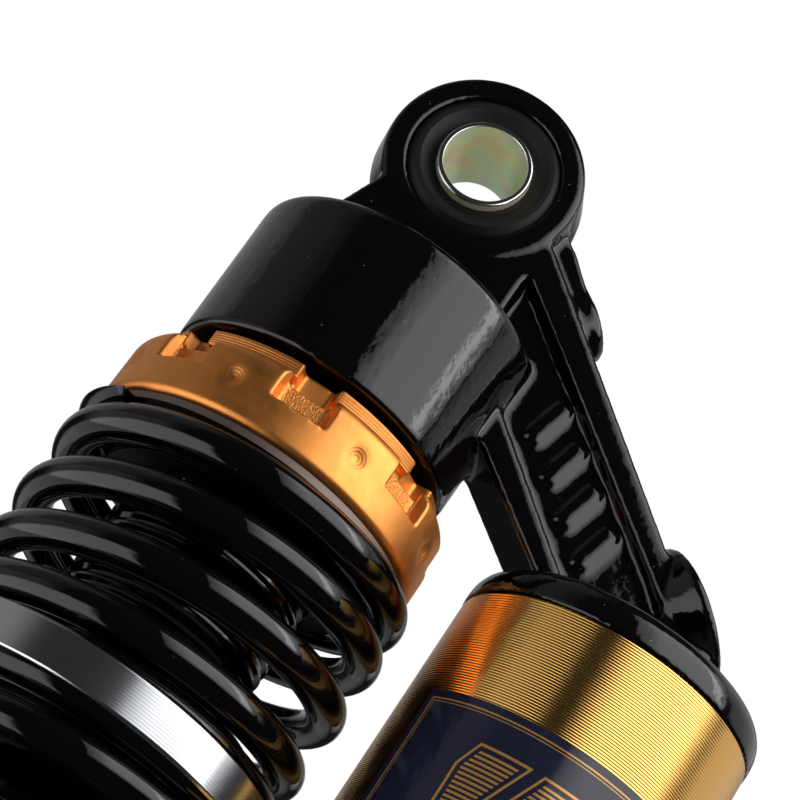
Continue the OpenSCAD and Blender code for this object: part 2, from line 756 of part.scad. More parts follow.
module preload_ring() {
    r = collar_od / 2;
    inner_r = tube_r + 0.08;
    spigot_r = collar_spigot_d / 2;
    neck = neck_d / 2;
    wall_r = r - collar_shoulder_r - 0.1;
    undercut_r = neck - 1.3;
    neck_bottom_z = shoulder_z - 0.3;
    ledge_z = shoulder_z - groove_depth;
    floor_z = shoulder_z - notch_depth;
    step = 360 / notch_count;
    color(gold) difference() {
        turned(concat([[inner_r, collar_bottom_z - collar_spigot_l],
            [spigot_r, collar_bottom_z - collar_spigot_l], [spigot_r, collar_bottom_z]],
            arc(r - collar_lip_r, collar_bottom_z + collar_lip_r, collar_lip_r, -90, 0, 4),
            arc(r - collar_shoulder_r, shoulder_z - collar_shoulder_r, collar_shoulder_r, 0, 90, 5),
            [[wall_r, shoulder_z], [wall_r, ledge_z], [undercut_r, ledge_z],
            [undercut_r, neck_bottom_z], [neck, neck_bottom_z], [neck, collar_top_z],
            [inner_r, collar_top_z]]));
        for (i = [0 : notch_count - 1]) rotate([0, 0, notch_facing + i * step])
            flared_cut(wall_r - 0.1, r, notch_back_w, notch_w, floor_z, notch_depth + 1);
        for (group = [0, 180]) for (i = [-1 : 1])
            rotate([0, 0, notch_facing + group + i * slot_step])
                flared_cut(neck - slot_depth, neck, slot_w - 1.5, slot_w, ledge_z,
                    collar_top_z - ledge_z + 1);
        for (i = [0 : notch_count - 1]) rotate([0, 0, notch_facing + (i + 0.5) * step])
            translate([r - dimple_depth, 0, collar_bottom_z + dimple_rise]) rotate([0, 90, 0])
                cylinder(r1 = 0.05, r2 = dimple_d, h = 2 * dimple_depth, $fn = 32);
    }
}

module spring_seat_washer() {
    color(steel) ring(washer_od / 2, collar_spigot_d / 2 + 0.1, washer_bottom_z, washer_t);
}

// ---- Springs ----------------------------------------------------------------------------

// Depth of the wire's centre below the upper seat after t turns
function wire_depth(t, turns, pitch) =
    let (closed = wire_d + end_turn_gap, start = tip_t - wire_d / 2)
    start + closed * (min(t, 1) + max(0, t - (turns - 1))) + pitch * max(0, min(t, turns - 1) - 1);

function spring_pitch(turns, length) =
    (length + 2 * (wire_d / 2 - tip_t) - 2 * (wire_d + end_turn_gap)) / (turns - 2);

// A right-hand helix of round wire, with both ends ground flat
module coil_spring(top_z, length, turns, sides, steps) {
    pitch = spring_pitch(turns, length);
    count = ceil(turns * steps);
    points = [for (i = [0 : count]) let (
            t = turns * i / count,
            a = tip_facing - 360 * t,
            z = top_z - wire_depth(t, turns, pitch))
        for (j = [0 : sides - 1]) let (
            b = 360 * j / sides,
            r = spring_r + wire_d / 2 * cos(b))
        [r * cos(a), r * sin(a), z + wire_d / 2 * sin(b)]];
    walls = [for (i = [0 : count - 1]) for (j = [0 : sides - 1]) let (
            k = (j + 1) % sides, p = i * sides, q = p + sides)
        [p + j, q + j, q + k, p + k]];
    first = [for (j = [0 : sides - 1]) j];
    last = [for (j = [sides - 1 : -1 : 0]) count * sides + j];
    intersection() {
        polyhedron(points, concat(walls, [first, last]), convexity = 20);
        translate([0, 0, top_z - length]) cylinder(r = spring_od, h = length);
    }
}

module upper_spring() {
    color(black_paint) coil_spring(upper_spring_top_z, upper_spring_l, upper_turns, 10, 20);
}

module lower_spring() {
    color(black_paint) coil_spring(lower_spring_top_z, lower_spring_l, lower_turns, 8, 18);
}

module spring_separator() {
    r = separator_od / 2;
    c = separator_chamfer;
    inner_r = separator_bore / 2;
    spigot_r = separator_spigot_d / 2;
    top = separator_top_z;
    bottom = separator_bottom_z;
    color(polished) turned([[inner_r, bottom - separator_spigot_l],
        [spigot_r - c, bottom - separator_spigot_l], [spigot_r, bottom - separator_spigot_l + c],
        [spigot_r, bottom], [r - c, bottom], [r, bottom + c], [r, top - c], [r - c, top],
        [spigot_r, top], [spigot_r, top + separator_spigot_l - c],
        [spigot_r - c, top + separator_spigot_l], [inner_r, top + separator_spigot_l]]);
}

module separator_guide() {
    inner_r = tube_r + guide_gap;
    color(nylon) ring(separator_bore / 2 - fit_gap, inner_r, separator_bottom_z - separator_spigot_l,
        separator_h + 2 * separator_spigot_l);
}

// ---- Damper -----------------------------------------------------------------------------

module damper_tube() {
    crest = tube_r;
    root = tube_r - thread_depth;
    start_z = head_bottom_z - 1;
    count = floor(thread_length / thread_pitch);
    flat = thread_pitch * 0.2;
    slope = thread_pitch * 0.3;
    thread = [for (i = [0 : count - 1]) let (z = start_z - i * thread_pitch)
        each [[crest, z], [crest, z - flat], [root, z - flat - slope], [root, z - 2 * flat - slope]]];
    color(black_paint) difference() {
        turned(concat([[bore_r, tube_top_z], [crest, tube_top_z]], thread,
            [[crest, start_z - count * thread_pitch], [crest, tube_bottom_z + 0.5],
            [crest - 0.5, tube_bottom_z], [bore_r, tube_bottom_z]]));
        ring(bore_r + clip_depth, bore_r - 1, seal_clip_z - face_gap, circlip_t + 2 * face_gap);
        ring(tube_r + 1, tube_r - 1, tube_top_z - 5, 2);
    }
}

module tube_oring() {
    color(rubber) o_ring(tube_r - 0.5 + fit_gap / 2, tube_top_z - 4, 1);
}

module seal_head() {
    r = bore_r - fit_gap;
    groove = 2;
    groove_z = seal_head_top_z - 5;
    color(steel) difference() {
        turned([[shaft_r + 0.4, seal_head_bottom_z], [r, seal_head_bottom_z], [r, groove_z - 1.2],
            [r - groove, groove_z - 1.2], [r - groove, groove_z + 1.2], [r, groove_z + 1.2],
            [r, seal_head_top_z - 0.5], [r - 0.5, seal_head_top_z],
            [shaft_r + 0.4, seal_head_top_z]]);
        translate([0, 0, seal_head_bottom_z - 1]) cylinder(d = seal_od + 2 * fit_gap, h = 9);
        translate([0, 0, seal_head_top_z - guide_l - face_gap])
            cylinder(d = guide_od + 2 * fit_gap, h = guide_l + 1);
    }
}

module seal_head_oring() {
    color(rubber) o_ring(bore_r - fit_gap - 1, seal_head_top_z - 5);
}

module shaft_guide_bush() {
    color(bronze) ring(guide_od / 2, shaft_r + fit_gap, seal_head_top_z - guide_l, guide_l);
}

module shaft_oil_seal() {
    color(rubber) ring(seal_od / 2, shaft_r + fit_gap, seal_head_bottom_z + 3.5, 4.4);
}

module shaft_wiper() {
    z = seal_head_bottom_z;
    color(rubber) turned([[shaft_r + fit_gap, z - 1.6], [shaft_r + 1.2, z - 1.6], [shaft_r + 2, z],
        [seal_od / 2, z], [seal_od / 2, z + 3.3], [shaft_r + fit_gap, z + 3.3]]);
}

module seal_head_circlip() {
    color(steel) snap_ring(bore_r - 2.5, bore_r + clip_depth - face_gap, seal_clip_z, 7);
}

module damper_shaft() {
    bleed_r = 1.2;
    bore_top_z = seal_head_bottom_z;
    color(chrome) difference() {
        turned([[0, shaft_bottom_z], [shaft_r - 0.8, shaft_bottom_z], [shaft_r, shaft_bottom_z + 0.8],
            [shaft_r, shaft_shoulder_z], [stud_r, shaft_shoulder_z], [stud_r, stud_top_z - 0.6],
            [stud_r - 0.6, stud_top_z], [0, stud_top_z]]);
        translate([0, 0, shaft_bottom_z - 1])
            cylinder(r = rod_d / 2 + fit_gap, h = bore_top_z - shaft_bottom_z + 1);
        translate([0, 0, bore_top_z - 1]) cylinder(r = bleed_r, h = stud_top_z - bore_top_z + 2);
    }
}

port_circle_r = 9;

module piston() {
    r = bore_r - 0.1;
    groove = 1;
    z0 = piston_bottom_z + (piston_t - band_h) / 2 - face_gap;
    z1 = z0 + band_h + 2 * face_gap;
    color(steel) difference() {
        turned([[stud_r + fit_gap, piston_bottom_z], [r - 0.5, piston_bottom_z],
            [r, piston_bottom_z + 0.5], [r, z0], [r - groove, z0], [r - groove, z1], [r, z1],
            [r, piston_top_z - 0.5], [r - 0.5, piston_top_z], [stud_r + fit_gap, piston_top_z]]);
        for (i = [0 : port_count - 1]) rotate([0, 0, 360 / port_count * i])
            translate([port_circle_r, 0, piston_bottom_z - 1]) cylinder(d = port_d, h = piston_t + 2);
    }
}

module piston_band() {
    color(bronze) ring(bore_r - fit_gap, bore_r - 1.1 + fit_gap,
        piston_bottom_z + (piston_t - band_h) / 2, band_h);
}

// A stack of thin discs, each smaller than the last one away from the piston
module shim_stack_solid(z, up) {
    for (i = [0 : shim_count - 1]) {
        level = up ? z + i * shim_t : z - (i + 1) * shim_t;
        ring(shim_od / 2 - i * shim_step, stud_r + fit_gap, level, shim_t);
    }
}

module compression_shims() { color(chrome) shim_stack_solid(piston_top_z + face_gap, true); }
module rebound_shims() { color(chrome) shim_stack_solid(piston_bottom_z - face_gap, false); }
module piston_nut() {
    color(steel) hex_nut(piston_nut_af, stud_d + 2 * fit_gap, piston_nut_z, piston_nut_h);
}

module top_out_bumper() {
    z = seal_head_top_z + face_gap;
    top = seal_head_top_z + topout_t;
    corner = 0.8;
    middle_r = topout_od / 2 - corner;
    color(rubber) turned(concat([[shaft_r + fit_gap, z]], arc(middle_r, z + corner, corner, -90, 0, 3),
        arc(middle_r, top - corner, corner, 0, 90, 3), [[shaft_r + fit_gap, top]]));
}

module bump_stop() {
    r = bump_od / 2;
    waist = r - 2.6;
    h = bump_h;
    color(rubber) turned([[shaft_r + 0.3, bump_z], [r - 1, bump_z], [r, bump_z + 1],
        [r, bump_z + h * 0.3], [waist, bump_z + h * 0.42], [waist, bump_z + h * 0.5],
        [r - 0.8, bump_z + h * 0.62], [r - 0.8, bump_z + h * 0.78], [r - 4.5, bump_z + h],
        [shaft_r + 0.3, bump_z + h]]);
}

module bump_stop_cup() {
    r = bump_od / 2 + 1;
    z = bump_cup_z;
    color(steel) turned([[shaft_r + 0.2, z], [r + bump_cup_t, z], [r + bump_cup_t, z + 3.5],
        [r, z + 3.5], [r, z + bump_cup_t], [shaft_r + 0.2, z + bump_cup_t]]);
}

module shaft_lock_nut() {
    color(steel) hex_nut(lock_nut_af, shaft_d + 2 * fit_gap, neck_top_z + face_gap, lock_nut_h);
}

// ---- Lower end --------------------------------------------------------------------------

module lower_spring_seat() {
    r = seat_od / 2;
    hub = seat_hub_d / 2;
    spigot_r = spring_od / 2 - wire_d - spigot_gap;
    pocket_r = spigot_r - seat_spigot_wall;
    inner_r = neck_r + fit_gap;
    pocket_z = neck_top_z - 1;
    top = seat_z + seat_spigot_h;
    color(black_paint) turned(concat([[inner_r, hub_bottom_z], [hub - 1, hub_bottom_z],
        [hub, hub_bottom_z + 1], [hub, seat_z - seat_rim_t - 5], [r - 2, seat_z - seat_rim_t]],
        arc(r - 1.2, seat_z - seat_rim_t + 1.2, 1.2, -90, 0, 3),
        [[r, seat_z + 1.5], [r - 1.2, seat_z + 1.5], [r - 1.7, seat_z], [spigot_r, seat_z],
        [spigot_r, top - 1], [spigot_r - 1, top], [pocket_r, top], [pocket_r, pocket_z],
        [inner_r, pocket_z]]));
}

module seat_circlip() {
    color(steel) translate([0, 0, face_gap]) snap_ring(neck_r - 0.95, neck_r + 3, circlip_z, 8);
}

cross_pin_z = lower_z + 22.5;
pin_r = cross_pin_d / 2;

module lower_eye() {
    half_w = eye_width / 2;
    shelf_r = 16.5;
    slot_gap = 0.2;
    color(black_paint) difference() {
        union() {
            translate([0, 0, lower_z]) eye_barrel(lower_eye_od, half_w, eye_draft);
            turned([[0, lower_z + 6], [half_w, lower_z + 6], [shelf_r, shelf_z - 3.5],
                [shelf_r, shelf_z], [neck_r, shelf_z], [neck_r, neck_top_z - 0.8],
                [neck_r - 0.8, neck_top_z], [0, neck_top_z]]);
        }
        translate([0, 0, lower_z]) eye_hole(half_w);
        translate([0, 0, shaft_bottom_z - face_gap]) cylinder(r = shaft_r + fit_gap, h = shaft_socket + 1);
        translate([0, 0, cross_pin_z - 3.5])
            cylinder(r = rod_d / 2 + fit_gap, h = shaft_bottom_z - cross_pin_z + 4);
        ring(neck_r + 1, neck_r - 1, circlip_z, circlip_t + 2 * face_gap);
        translate([0, 0, cross_pin_z + rod_travel / 2]) cube([2 * neck_r + 4,
            cross_pin_d + 2 * slot_gap, cross_pin_d + rod_travel + 2 * slot_gap], center = true);
    }
}

module rebound_knob() {
    r = knob_od / 2;
    c = 1;
    pin_room = 14;
    groove_r = neck_r + 2.2;
    h = knob_top_z - knob_bottom_z;
    color(gold) difference() {
        turned([[neck_r + fit_gap, knob_bottom_z], [r - c, knob_bottom_z], [r, knob_bottom_z + c],
            [r, knob_top_z - c], [r - c, knob_top_z], [neck_r + fit_gap, knob_top_z]]);
        ring(groove_r, neck_r - 1, cross_pin_z - pin_r - 0.6, cross_pin_d + rod_travel + 1.2);
        for (i = [0 : knob_grips - 1]) rotate([0, 0, 360 / knob_grips * i])
            translate([r + 1.4 - knob_grip_depth, 0, knob_bottom_z - 1]) cylinder(r = 1.4, h = h + 2, $fn = 20);
    }
}

rod_top_z = seal_head_bottom_z - 3 - needle_l;

module rebound_rod() {
    bottom_z = cross_pin_z - 3;
    color(steel) difference() {
        translate([0, 0, bottom_z]) cylinder(d = rod_d, h = rod_top_z - bottom_z);
        translate([0, 0, cross_pin_z]) rotate([0, 90, 0])
            cylinder(r = pin_r + fit_gap, h = rod_d + 2, center = true);
    }
}

module rebound_needle() {
    color(chrome) turned([[0, rod_top_z + face_gap], [rod_d / 2, rod_top_z + face_gap],
        [rod_d / 2, rod_top_z + 1], [0.6, rod_top_z + needle_l], [0, rod_top_z + needle_l]]);
}

module adjuster_cross_pin() {
    color(chrome) translate([0, 0, cross_pin_z]) rotate([0, 90, 0])
        cylinder(r = pin_r, h = 2 * (neck_r + 1.7), center = true);
}

head_casting();
upper_bush_rubber();
upper_bush_sleeve();
damper_tube();
tube_oring();
seal_head();
seal_head_oring();
shaft_guide_bush();
shaft_oil_seal();
shaft_wiper();
seal_head_circlip();
reservoir_body();
reservoir_oring();
reservoir_end_cap();
end_cap_oring();
end_cap_circlip();
gas_valve_stem();
gas_valve_core();
gas_valve_cap();
floating_piston();
floating_piston_band();
reservoir_label();
passage_plugs();
plug_washers();
preload_ring();
spring_seat_washer();
upper_spring();
spring_separator();
separator_guide();
lower_spring();
damper_shaft();
piston();
piston_band();
compression_shims();
rebound_shims();
piston_nut();
top_out_bumper();
bump_stop();
bump_stop_cup();
shaft_lock_nut();
lower_spring_seat();
seat_circlip();
lower_eye();
lower_bush_rubber();
lower_bush_sleeve();
rebound_knob();
rebound_rod();
rebound_needle();
adjuster_cross_pin();
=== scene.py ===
# %% [markdown]
# # A rear shock absorber with a side reservoir
# The CAD model gives every solid of this motorcycle shock in one shared frame. This lesson
# dresses it: soft edges on the castings, round spring wire, anodised, polished and enamelled
# finishes, and a small studio. The origin is the centre of the upper eye, +Z runs up the damper
# and +X points to the reservoir.

# %% Load the CAD model
import json
import math

import bmesh
import bpy
import numpy as np
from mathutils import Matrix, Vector


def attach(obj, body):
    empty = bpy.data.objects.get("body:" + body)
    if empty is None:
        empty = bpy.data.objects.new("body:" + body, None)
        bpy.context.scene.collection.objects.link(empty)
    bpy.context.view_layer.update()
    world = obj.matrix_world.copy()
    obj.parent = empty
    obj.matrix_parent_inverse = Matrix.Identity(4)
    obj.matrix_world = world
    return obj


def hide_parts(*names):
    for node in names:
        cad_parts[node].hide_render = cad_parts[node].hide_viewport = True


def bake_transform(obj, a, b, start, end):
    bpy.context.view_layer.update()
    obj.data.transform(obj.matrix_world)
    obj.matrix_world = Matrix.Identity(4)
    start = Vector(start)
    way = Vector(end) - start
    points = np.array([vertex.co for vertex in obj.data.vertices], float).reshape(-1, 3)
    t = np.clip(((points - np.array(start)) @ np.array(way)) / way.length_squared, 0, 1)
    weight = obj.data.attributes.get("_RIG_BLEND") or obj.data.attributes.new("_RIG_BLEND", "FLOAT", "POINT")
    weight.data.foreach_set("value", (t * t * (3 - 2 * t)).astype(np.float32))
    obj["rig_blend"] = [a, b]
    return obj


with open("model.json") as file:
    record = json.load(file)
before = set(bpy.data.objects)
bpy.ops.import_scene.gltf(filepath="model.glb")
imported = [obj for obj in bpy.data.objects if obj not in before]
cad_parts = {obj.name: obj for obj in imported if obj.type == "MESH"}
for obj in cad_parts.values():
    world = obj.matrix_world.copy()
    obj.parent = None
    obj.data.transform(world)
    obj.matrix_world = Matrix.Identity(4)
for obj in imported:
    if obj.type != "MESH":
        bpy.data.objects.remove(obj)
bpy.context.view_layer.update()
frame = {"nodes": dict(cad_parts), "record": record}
scene = bpy.context.scene
MM = 0.001

# %% [markdown]
# ## Camera
# The shock is seen from a little below and slightly from the right, with a long lens, so that
# the two tubes stay almost parallel. A tracking constraint could aim the camera too, but its
# position and three turns are plainer. The Standard view shows each colour as it is written.

# %% Camera
camera_data = bpy.data.cameras.new("studio_camera")
camera_data.sensor_width = 36
camera_data.lens = 116.608
camera = bpy.data.objects.new("studio_camera", camera_data)
camera.location = [v * MM for v in (58.7705, -373.9148, -213.3462)]
camera.rotation_euler = [math.radians(v) for v in (119.33009, -31.51714, -8.88666)]
scene.collection.objects.link(camera)
scene.camera = camera
scene.view_settings.view_transform = "Standard"
print("camera at", [round(v / MM, 1) for v in camera.location], "mm")

# %% [markdown]
# ## Small helpers for nodes
# Colours are written as sRGB hex values and turned to linear once. One function gives a node's
# sockets their values or links, and one adds a node to any tree with its settings and links.

# %% Helpers
def linear(colour):
    """Linear RGBA of an sRGB hex colour."""
    parts = [int(colour[i:i + 2], 16) / 255 for i in (1, 3, 5)]
    return [c / 12.92 if c <= 0.04045 else ((c + 0.055) / 1.055) ** 2.4 for c in parts] + [1]


def feed(node, inputs):
    """Gives a node's sockets, by name or number, a value or another node's output."""
    for key, value in inputs.items():
        if isinstance(value, bpy.types.NodeSocket):
            node.id_data.links.new(value, node.inputs[key])
        else:
            node.inputs[key].default_value = value


def add(tree, kind, inputs=None, out=0, **settings):
    """Adds a node with its settings and links, and hands back one of its outputs."""
    node = tree.nodes.new(kind if kind.startswith("GeometryNode") else "ShaderNode" + kind)
    for name, value in settings.items():
        setattr(node, name, value)
    feed(node, inputs or {})
    return node.outputs[out] if len(node.outputs) else node


print("gold in linear light:", [round(c, 3) for c in linear("#fba556")[:3]])

# %% [markdown]
# ## Studio
# Gloss black and gold show the room more than themselves, so the room comes first. A room of
# real panels would cast light and hide behind the camera with some care. Panels drawn into the
# world by direction are simpler: each has a middle azimuth, a width and a range of elevations.
# The front is dim, because the enamel has to stay black where it faces the camera.

# %% Panels of the room
# Middle azimuth, half width, softness there, lowest and highest elevation (degrees), level
PANELS = {
    "slim lamp": (-16, 4.5, 2, 14, 52, 3.0),
    "white table on the right": (33, 34, 5, -6, 60, 0.6),
    "paper in the object's shade": (124, 52, 12, 12, 62, 0.36),
    "paper behind": (150, 38, 8, -62, -11, 0.55),
    "paper behind on the right": (82, 32, 8, -60, -11, 0.3),
    "white card low on the left": (-160, 43, 5, -62, -11, 1.6),
    "dim wall on the left": (-172, 30, 12, -14, 14, 0.33),
    "high wall on the left": (-172, 30, 16, 12, 70, 0.18),
}
EDGE = 6  # degrees of softness at the upper and lower edges
DIM_FRONT = 0.022  # level where there is no panel
print("panels:", ", ".join(PANELS))

# %% [markdown]
# Paper and cloth are never quite straight. A little noise bends the directions before they are
# used, so that the reflected edges don't look ruled.

# %% Wavering edges
def waver(tree, vector, scale, detail, amount):
    """A vector bent by noise of the given amount."""
    noise = add(tree, "TexNoise", {"Vector": vector, "Scale": scale, "Detail": detail}, out="Color")
    noise = add(tree, "VectorMath", {0: noise, 1: (0.5, 0.5, 0.5)}, operation="SUBTRACT")
    noise = add(tree, "VectorMath", {0: noise, "Scale": amount}, operation="SCALE")
    return add(tree, "VectorMath", {0: vector, 1: noise}, operation="ADD")


print("waver ready")

# %% [markdown]
# Each direction is turned into azimuth and elevation. A panel lights those that lie inside its
# two ranges.

# %% Light of one panel
world = bpy.data.worlds.new("studio_room")
scene.world = world
world.use_nodes = True
room = world.node_tree
room.nodes.clear()
direction = add(room, "TexCoord", out="Generated")
bent = waver(room, direction, scale=9.0, detail=3.0, amount=0.10)
height = add(room, "SeparateXYZ", {0: bent}, out="Z")
rise = add(room, "Math", {0: height}, operation="ARCSINE")


def panel_light(tree, middle, half_width, soft, low, high, level):
    """The light of one panel, with soft edges, by direction."""
    turned = add(tree, "VectorRotate", {"Vector": bent, "Angle": math.radians(-middle)},
                 rotation_type="Z_AXIS")
    split = add(tree, "SeparateXYZ", {0: turned}).node
    azimuth = add(tree, "Math", {0: split.outputs["Y"], 1: split.outputs["X"]},
                  operation="ARCTAN2")
    aside = add(tree, "Math", {0: azimuth}, operation="ABSOLUTE")
    light = level
    for value, edge, spread in ((aside, half_width, -soft), (rise, low, EDGE), (rise, high, -EDGE)):
        mask = add(tree, "MapRange", {
            "Value": value, "From Min": math.radians(edge - spread),
            "From Max": math.radians(edge + spread)}, interpolation_type="SMOOTHSTEP")
        light = add(tree, "Math", {0: mask, 1: light}, operation="MULTIPLY")
    return light


print("a panel's edges are", 2 * EDGE, "degrees soft above and below")

# %% [markdown]
# The brightest panel wins in each direction. The white background is for rays that come from the
# camera or pass through a clear part, where a strength of 1 is white. All other rays see the
# studio, because enamel that mirrors a white background looks grey.

# %% World
total = DIM_FRONT
for panel in PANELS.values():
    total = add(room, "Math", {0: panel_light(room, *panel), 1: total}, operation="MAXIMUM")
studio = add(room, "Background", {"Color": (1, 1, 1, 1), "Strength": total})
white = add(room, "Background", {"Color": (1, 1, 1, 1), "Strength": 1.0})
rays = add(room, "LightPath").node
plain = add(room, "Math", {0: rays.outputs["Is Camera Ray"],
                           1: rays.outputs["Is Transmission Ray"]}, operation="MAXIMUM")
shown = add(room, "MixShader", {0: plain, 1: studio, 2: white})
add(room, "OutputWorld", {"Surface": shown})
print("world:", len(room.nodes), "nodes")

# %% [markdown]
# The large soft box stands close to the shock, so each part of the object sees it from another
# side. A world panel is infinitely far and can't do that, and a real area lamp can. Its face
# fades towards its rim, as cloth does that is lit from behind, and the cloth hangs in slight
# waves.

# %% Soft box
BOX_MIDDLE = (190, -140, 114)
BOX_AZIMUTH, BOX_ELEVATION = math.radians(-54), math.radians(19)
BOX_WIDE, BOX_HIGH = 356 * MM, 380 * MM
BOX_LEVEL = 2.0  # brightness of the face, on the scale of the panels
FADE = {"X": 0.24, "Y": 0.16}  # share of the width and height over which the face fades
RIM_LEVEL = 0.25  # share of the brightness that is left at the rim
box_lamp = bpy.data.lights.new("soft_box", "AREA")
box_lamp.shape = "RECTANGLE"
box_lamp.size, box_lamp.size_y = BOX_WIDE, BOX_HIGH
box_lamp.energy = 4 * BOX_WIDE * BOX_HIGH * BOX_LEVEL  # four times area times level, in watts
box_lamp.use_nodes = True
cloth = box_lamp.node_tree
face = add(cloth, "TexCoord", out="UV")
face = waver(cloth, face, scale=14.0, detail=2.0, amount=0.035)
split = add(cloth, "SeparateXYZ", {0: face}).node
glow = 1.0
for axis, rim in FADE.items():
    centred = add(cloth, "Math", {0: split.outputs[axis], 1: 0.5}, operation="SUBTRACT")
    aside = add(cloth, "Math", {0: centred}, operation="ABSOLUTE")
    inward = add(cloth, "Math", {0: 0.5, 1: aside}, operation="SUBTRACT")
    fade = add(cloth, "MapRange", {"Value": inward, "From Max": rim, "To Min": RIM_LEVEL})
    glow = add(cloth, "Math", {0: fade, 1: glow}, operation="MULTIPLY")
feed(cloth.nodes["Emission"], {"Strength": glow})
print("soft box", BOX_WIDE / MM, "x", BOX_HIGH / MM, "mm")

# %% [markdown]
# The lamp shines along its own -Z, so its +Z is turned away from the shock.

# %% Place the soft box
soft_box = bpy.data.objects.new("soft_box", box_lamp)
outward = Vector((math.cos(BOX_ELEVATION) * math.cos(BOX_AZIMUTH),
                  math.cos(BOX_ELEVATION) * math.sin(BOX_AZIMUTH), math.sin(BOX_ELEVATION)))
soft_box.rotation_euler = outward.to_track_quat("Z", "Y").to_euler()
soft_box.location = [v * MM for v in BOX_MIDDLE]
soft_box.visible_camera = False
scene.collection.objects.link(soft_box)
print("soft box at", BOX_MIDDLE, "mm")

# %% [markdown]
# The panels and the box are made for reflections. Two wide suns add the plain light that dull
# surfaces need. They are hidden from glossy rays, so no highlight of theirs shows in the gold or
# the enamel.

# %% Plain light
SUN_WIDTH = math.radians(60)
SUNS = {"plain_light_front": ((35, 0, -8), 2.0), "plain_light_back": ((60, 0, 150), 1.2)}
for name, (turn, strength) in SUNS.items():
    lamp = bpy.data.lights.new(name, "SUN")
    lamp.energy = strength
    lamp.angle = SUN_WIDTH
    sun = bpy.data.objects.new(name, lamp)
    sun.rotation_euler = [math.radians(v) for v in turn]
    sun.visible_glossy = False
    scene.collection.objects.link(sun)
print("suns:", ", ".join(SUNS))

# %% [markdown]
# The floor is a pale sheet of paper just under the lower eye. It keeps the object's shadow. One
# flat face is enough, and glossy rays pass it by, because the world already holds the paper that
# the metal mirrors.

# %% Floor
FLOOR_Z = -338.6 * MM
FLOOR_HALF = 900 * MM
floor_mesh = bpy.data.meshes.new("floor")
floor_mesh.from_pydata([(x * FLOOR_HALF, y * FLOOR_HALF, FLOOR_Z)
                        for x, y in ((-1, -1), (1, -1), (1, 1), (-1, 1))], [], [(0, 1, 2, 3)])
floor = bpy.data.objects.new("floor", floor_mesh)
scene.collection.objects.link(floor)
paper = bpy.data.materials.new("pale_paper")
paper.use_nodes = True
feed(paper.node_tree.nodes["Principled BSDF"], {"Base Color": linear("#f2f2f0"), "Roughness": 0.8})
floor_mesh.materials.append(paper)
floor.visible_glossy = False
print("floor at", round(FLOOR_Z / MM, 1), "mm")

# %% [markdown]
# ## Finishes
# Each material starts from a real one. Patterns are laid out in millimetres on the object's own
# coordinates, which work because every piece sits at the origin. All finishes start from the
# same base: one shader and the place of each point in millimetres.

# %% A base for every finish
def base_finish(name, colour, roughness, metallic=0.0):
    """A new material, its tree, its shader and the place in mm."""
    material = bpy.data.materials.new(name)
    material.use_nodes = True
    tree = material.node_tree
    shader = tree.nodes["Principled BSDF"]
    feed(shader, {"Base Color": linear(colour), "Roughness": roughness, "Metallic": metallic})
    metres = add(tree, "TexCoord", out="Object")
    place = add(tree, "VectorMath", {0: metres, "Scale": 1 / MM}, operation="SCALE")
    return material, tree, shader, place


print("base finish ready")

# %% [markdown]
# A few patterns serve many turned parts: the distance from an axis, where a point is about it, a
# band between two numbers, and ridges of one pitch. Each is some nodes of plain arithmetic.

# %% Patterns for turned parts
def distance(tree, a, b):
    """Length of a step of a along one axis and b along another."""
    squares = [add(tree, "Math", {0: v, 1: 2.0}, operation="POWER") for v in (a, b)]
    both = add(tree, "Math", {0: squares[0], 1: squares[1]}, operation="ADD")
    return add(tree, "Math", {0: both}, operation="SQRT")


def polar(tree, place, axis_x=0.0):
    """Angle in degrees, radius and height in mm about an upright axis."""
    moved = add(tree, "VectorMath", {0: place, 1: (-axis_x, 0, 0)}, operation="ADD")
    split = add(tree, "SeparateXYZ", {0: moved}).node
    x, y, z = (split.outputs[name] for name in "XYZ")
    angle = add(tree, "Math", {0: y, 1: x}, operation="ARCTAN2")
    angle = add(tree, "Math", {0: angle, 1: 180 / math.pi}, operation="MULTIPLY")
    return angle, distance(tree, x, y), z


def band(tree, value, low, high, soft=0.02):
    """1 where a value lies between low and high, 0 elsewhere, with soft ends."""
    up = add(tree, "MapRange", {"Value": value, "From Min": low - soft, "From Max": low + soft})
    down = add(tree, "MapRange", {"Value": value, "From Min": high + soft, "From Max": high - soft})
    return add(tree, "Math", {0: up, 1: down}, operation="MULTIPLY")


def ridges(tree, value, pitch):
    """A sine of the given pitch, 0 to 1."""
    turn = add(tree, "Math", {0: value, 1: 2 * math.pi / pitch}, operation="MULTIPLY")
    wave = add(tree, "Math", {0: turn}, operation="SINE")
    return add(tree, "MapRange", {"Value": wave, "From Min": -1.0, "From Max": 1.0})


print("patterns: distance, polar, band, ridges")

# %% [markdown]
# Black stoving enamel covers the castings and the springs: a deep gloss with a faint orange peel
# a few millimetres wide, which makes the reflected edges waver. Dust settles on it in specks,
# picked by cell from a Voronoi pattern.

# %% Black enamel
ENAMEL, DUST = "#050506", "#8a857c"


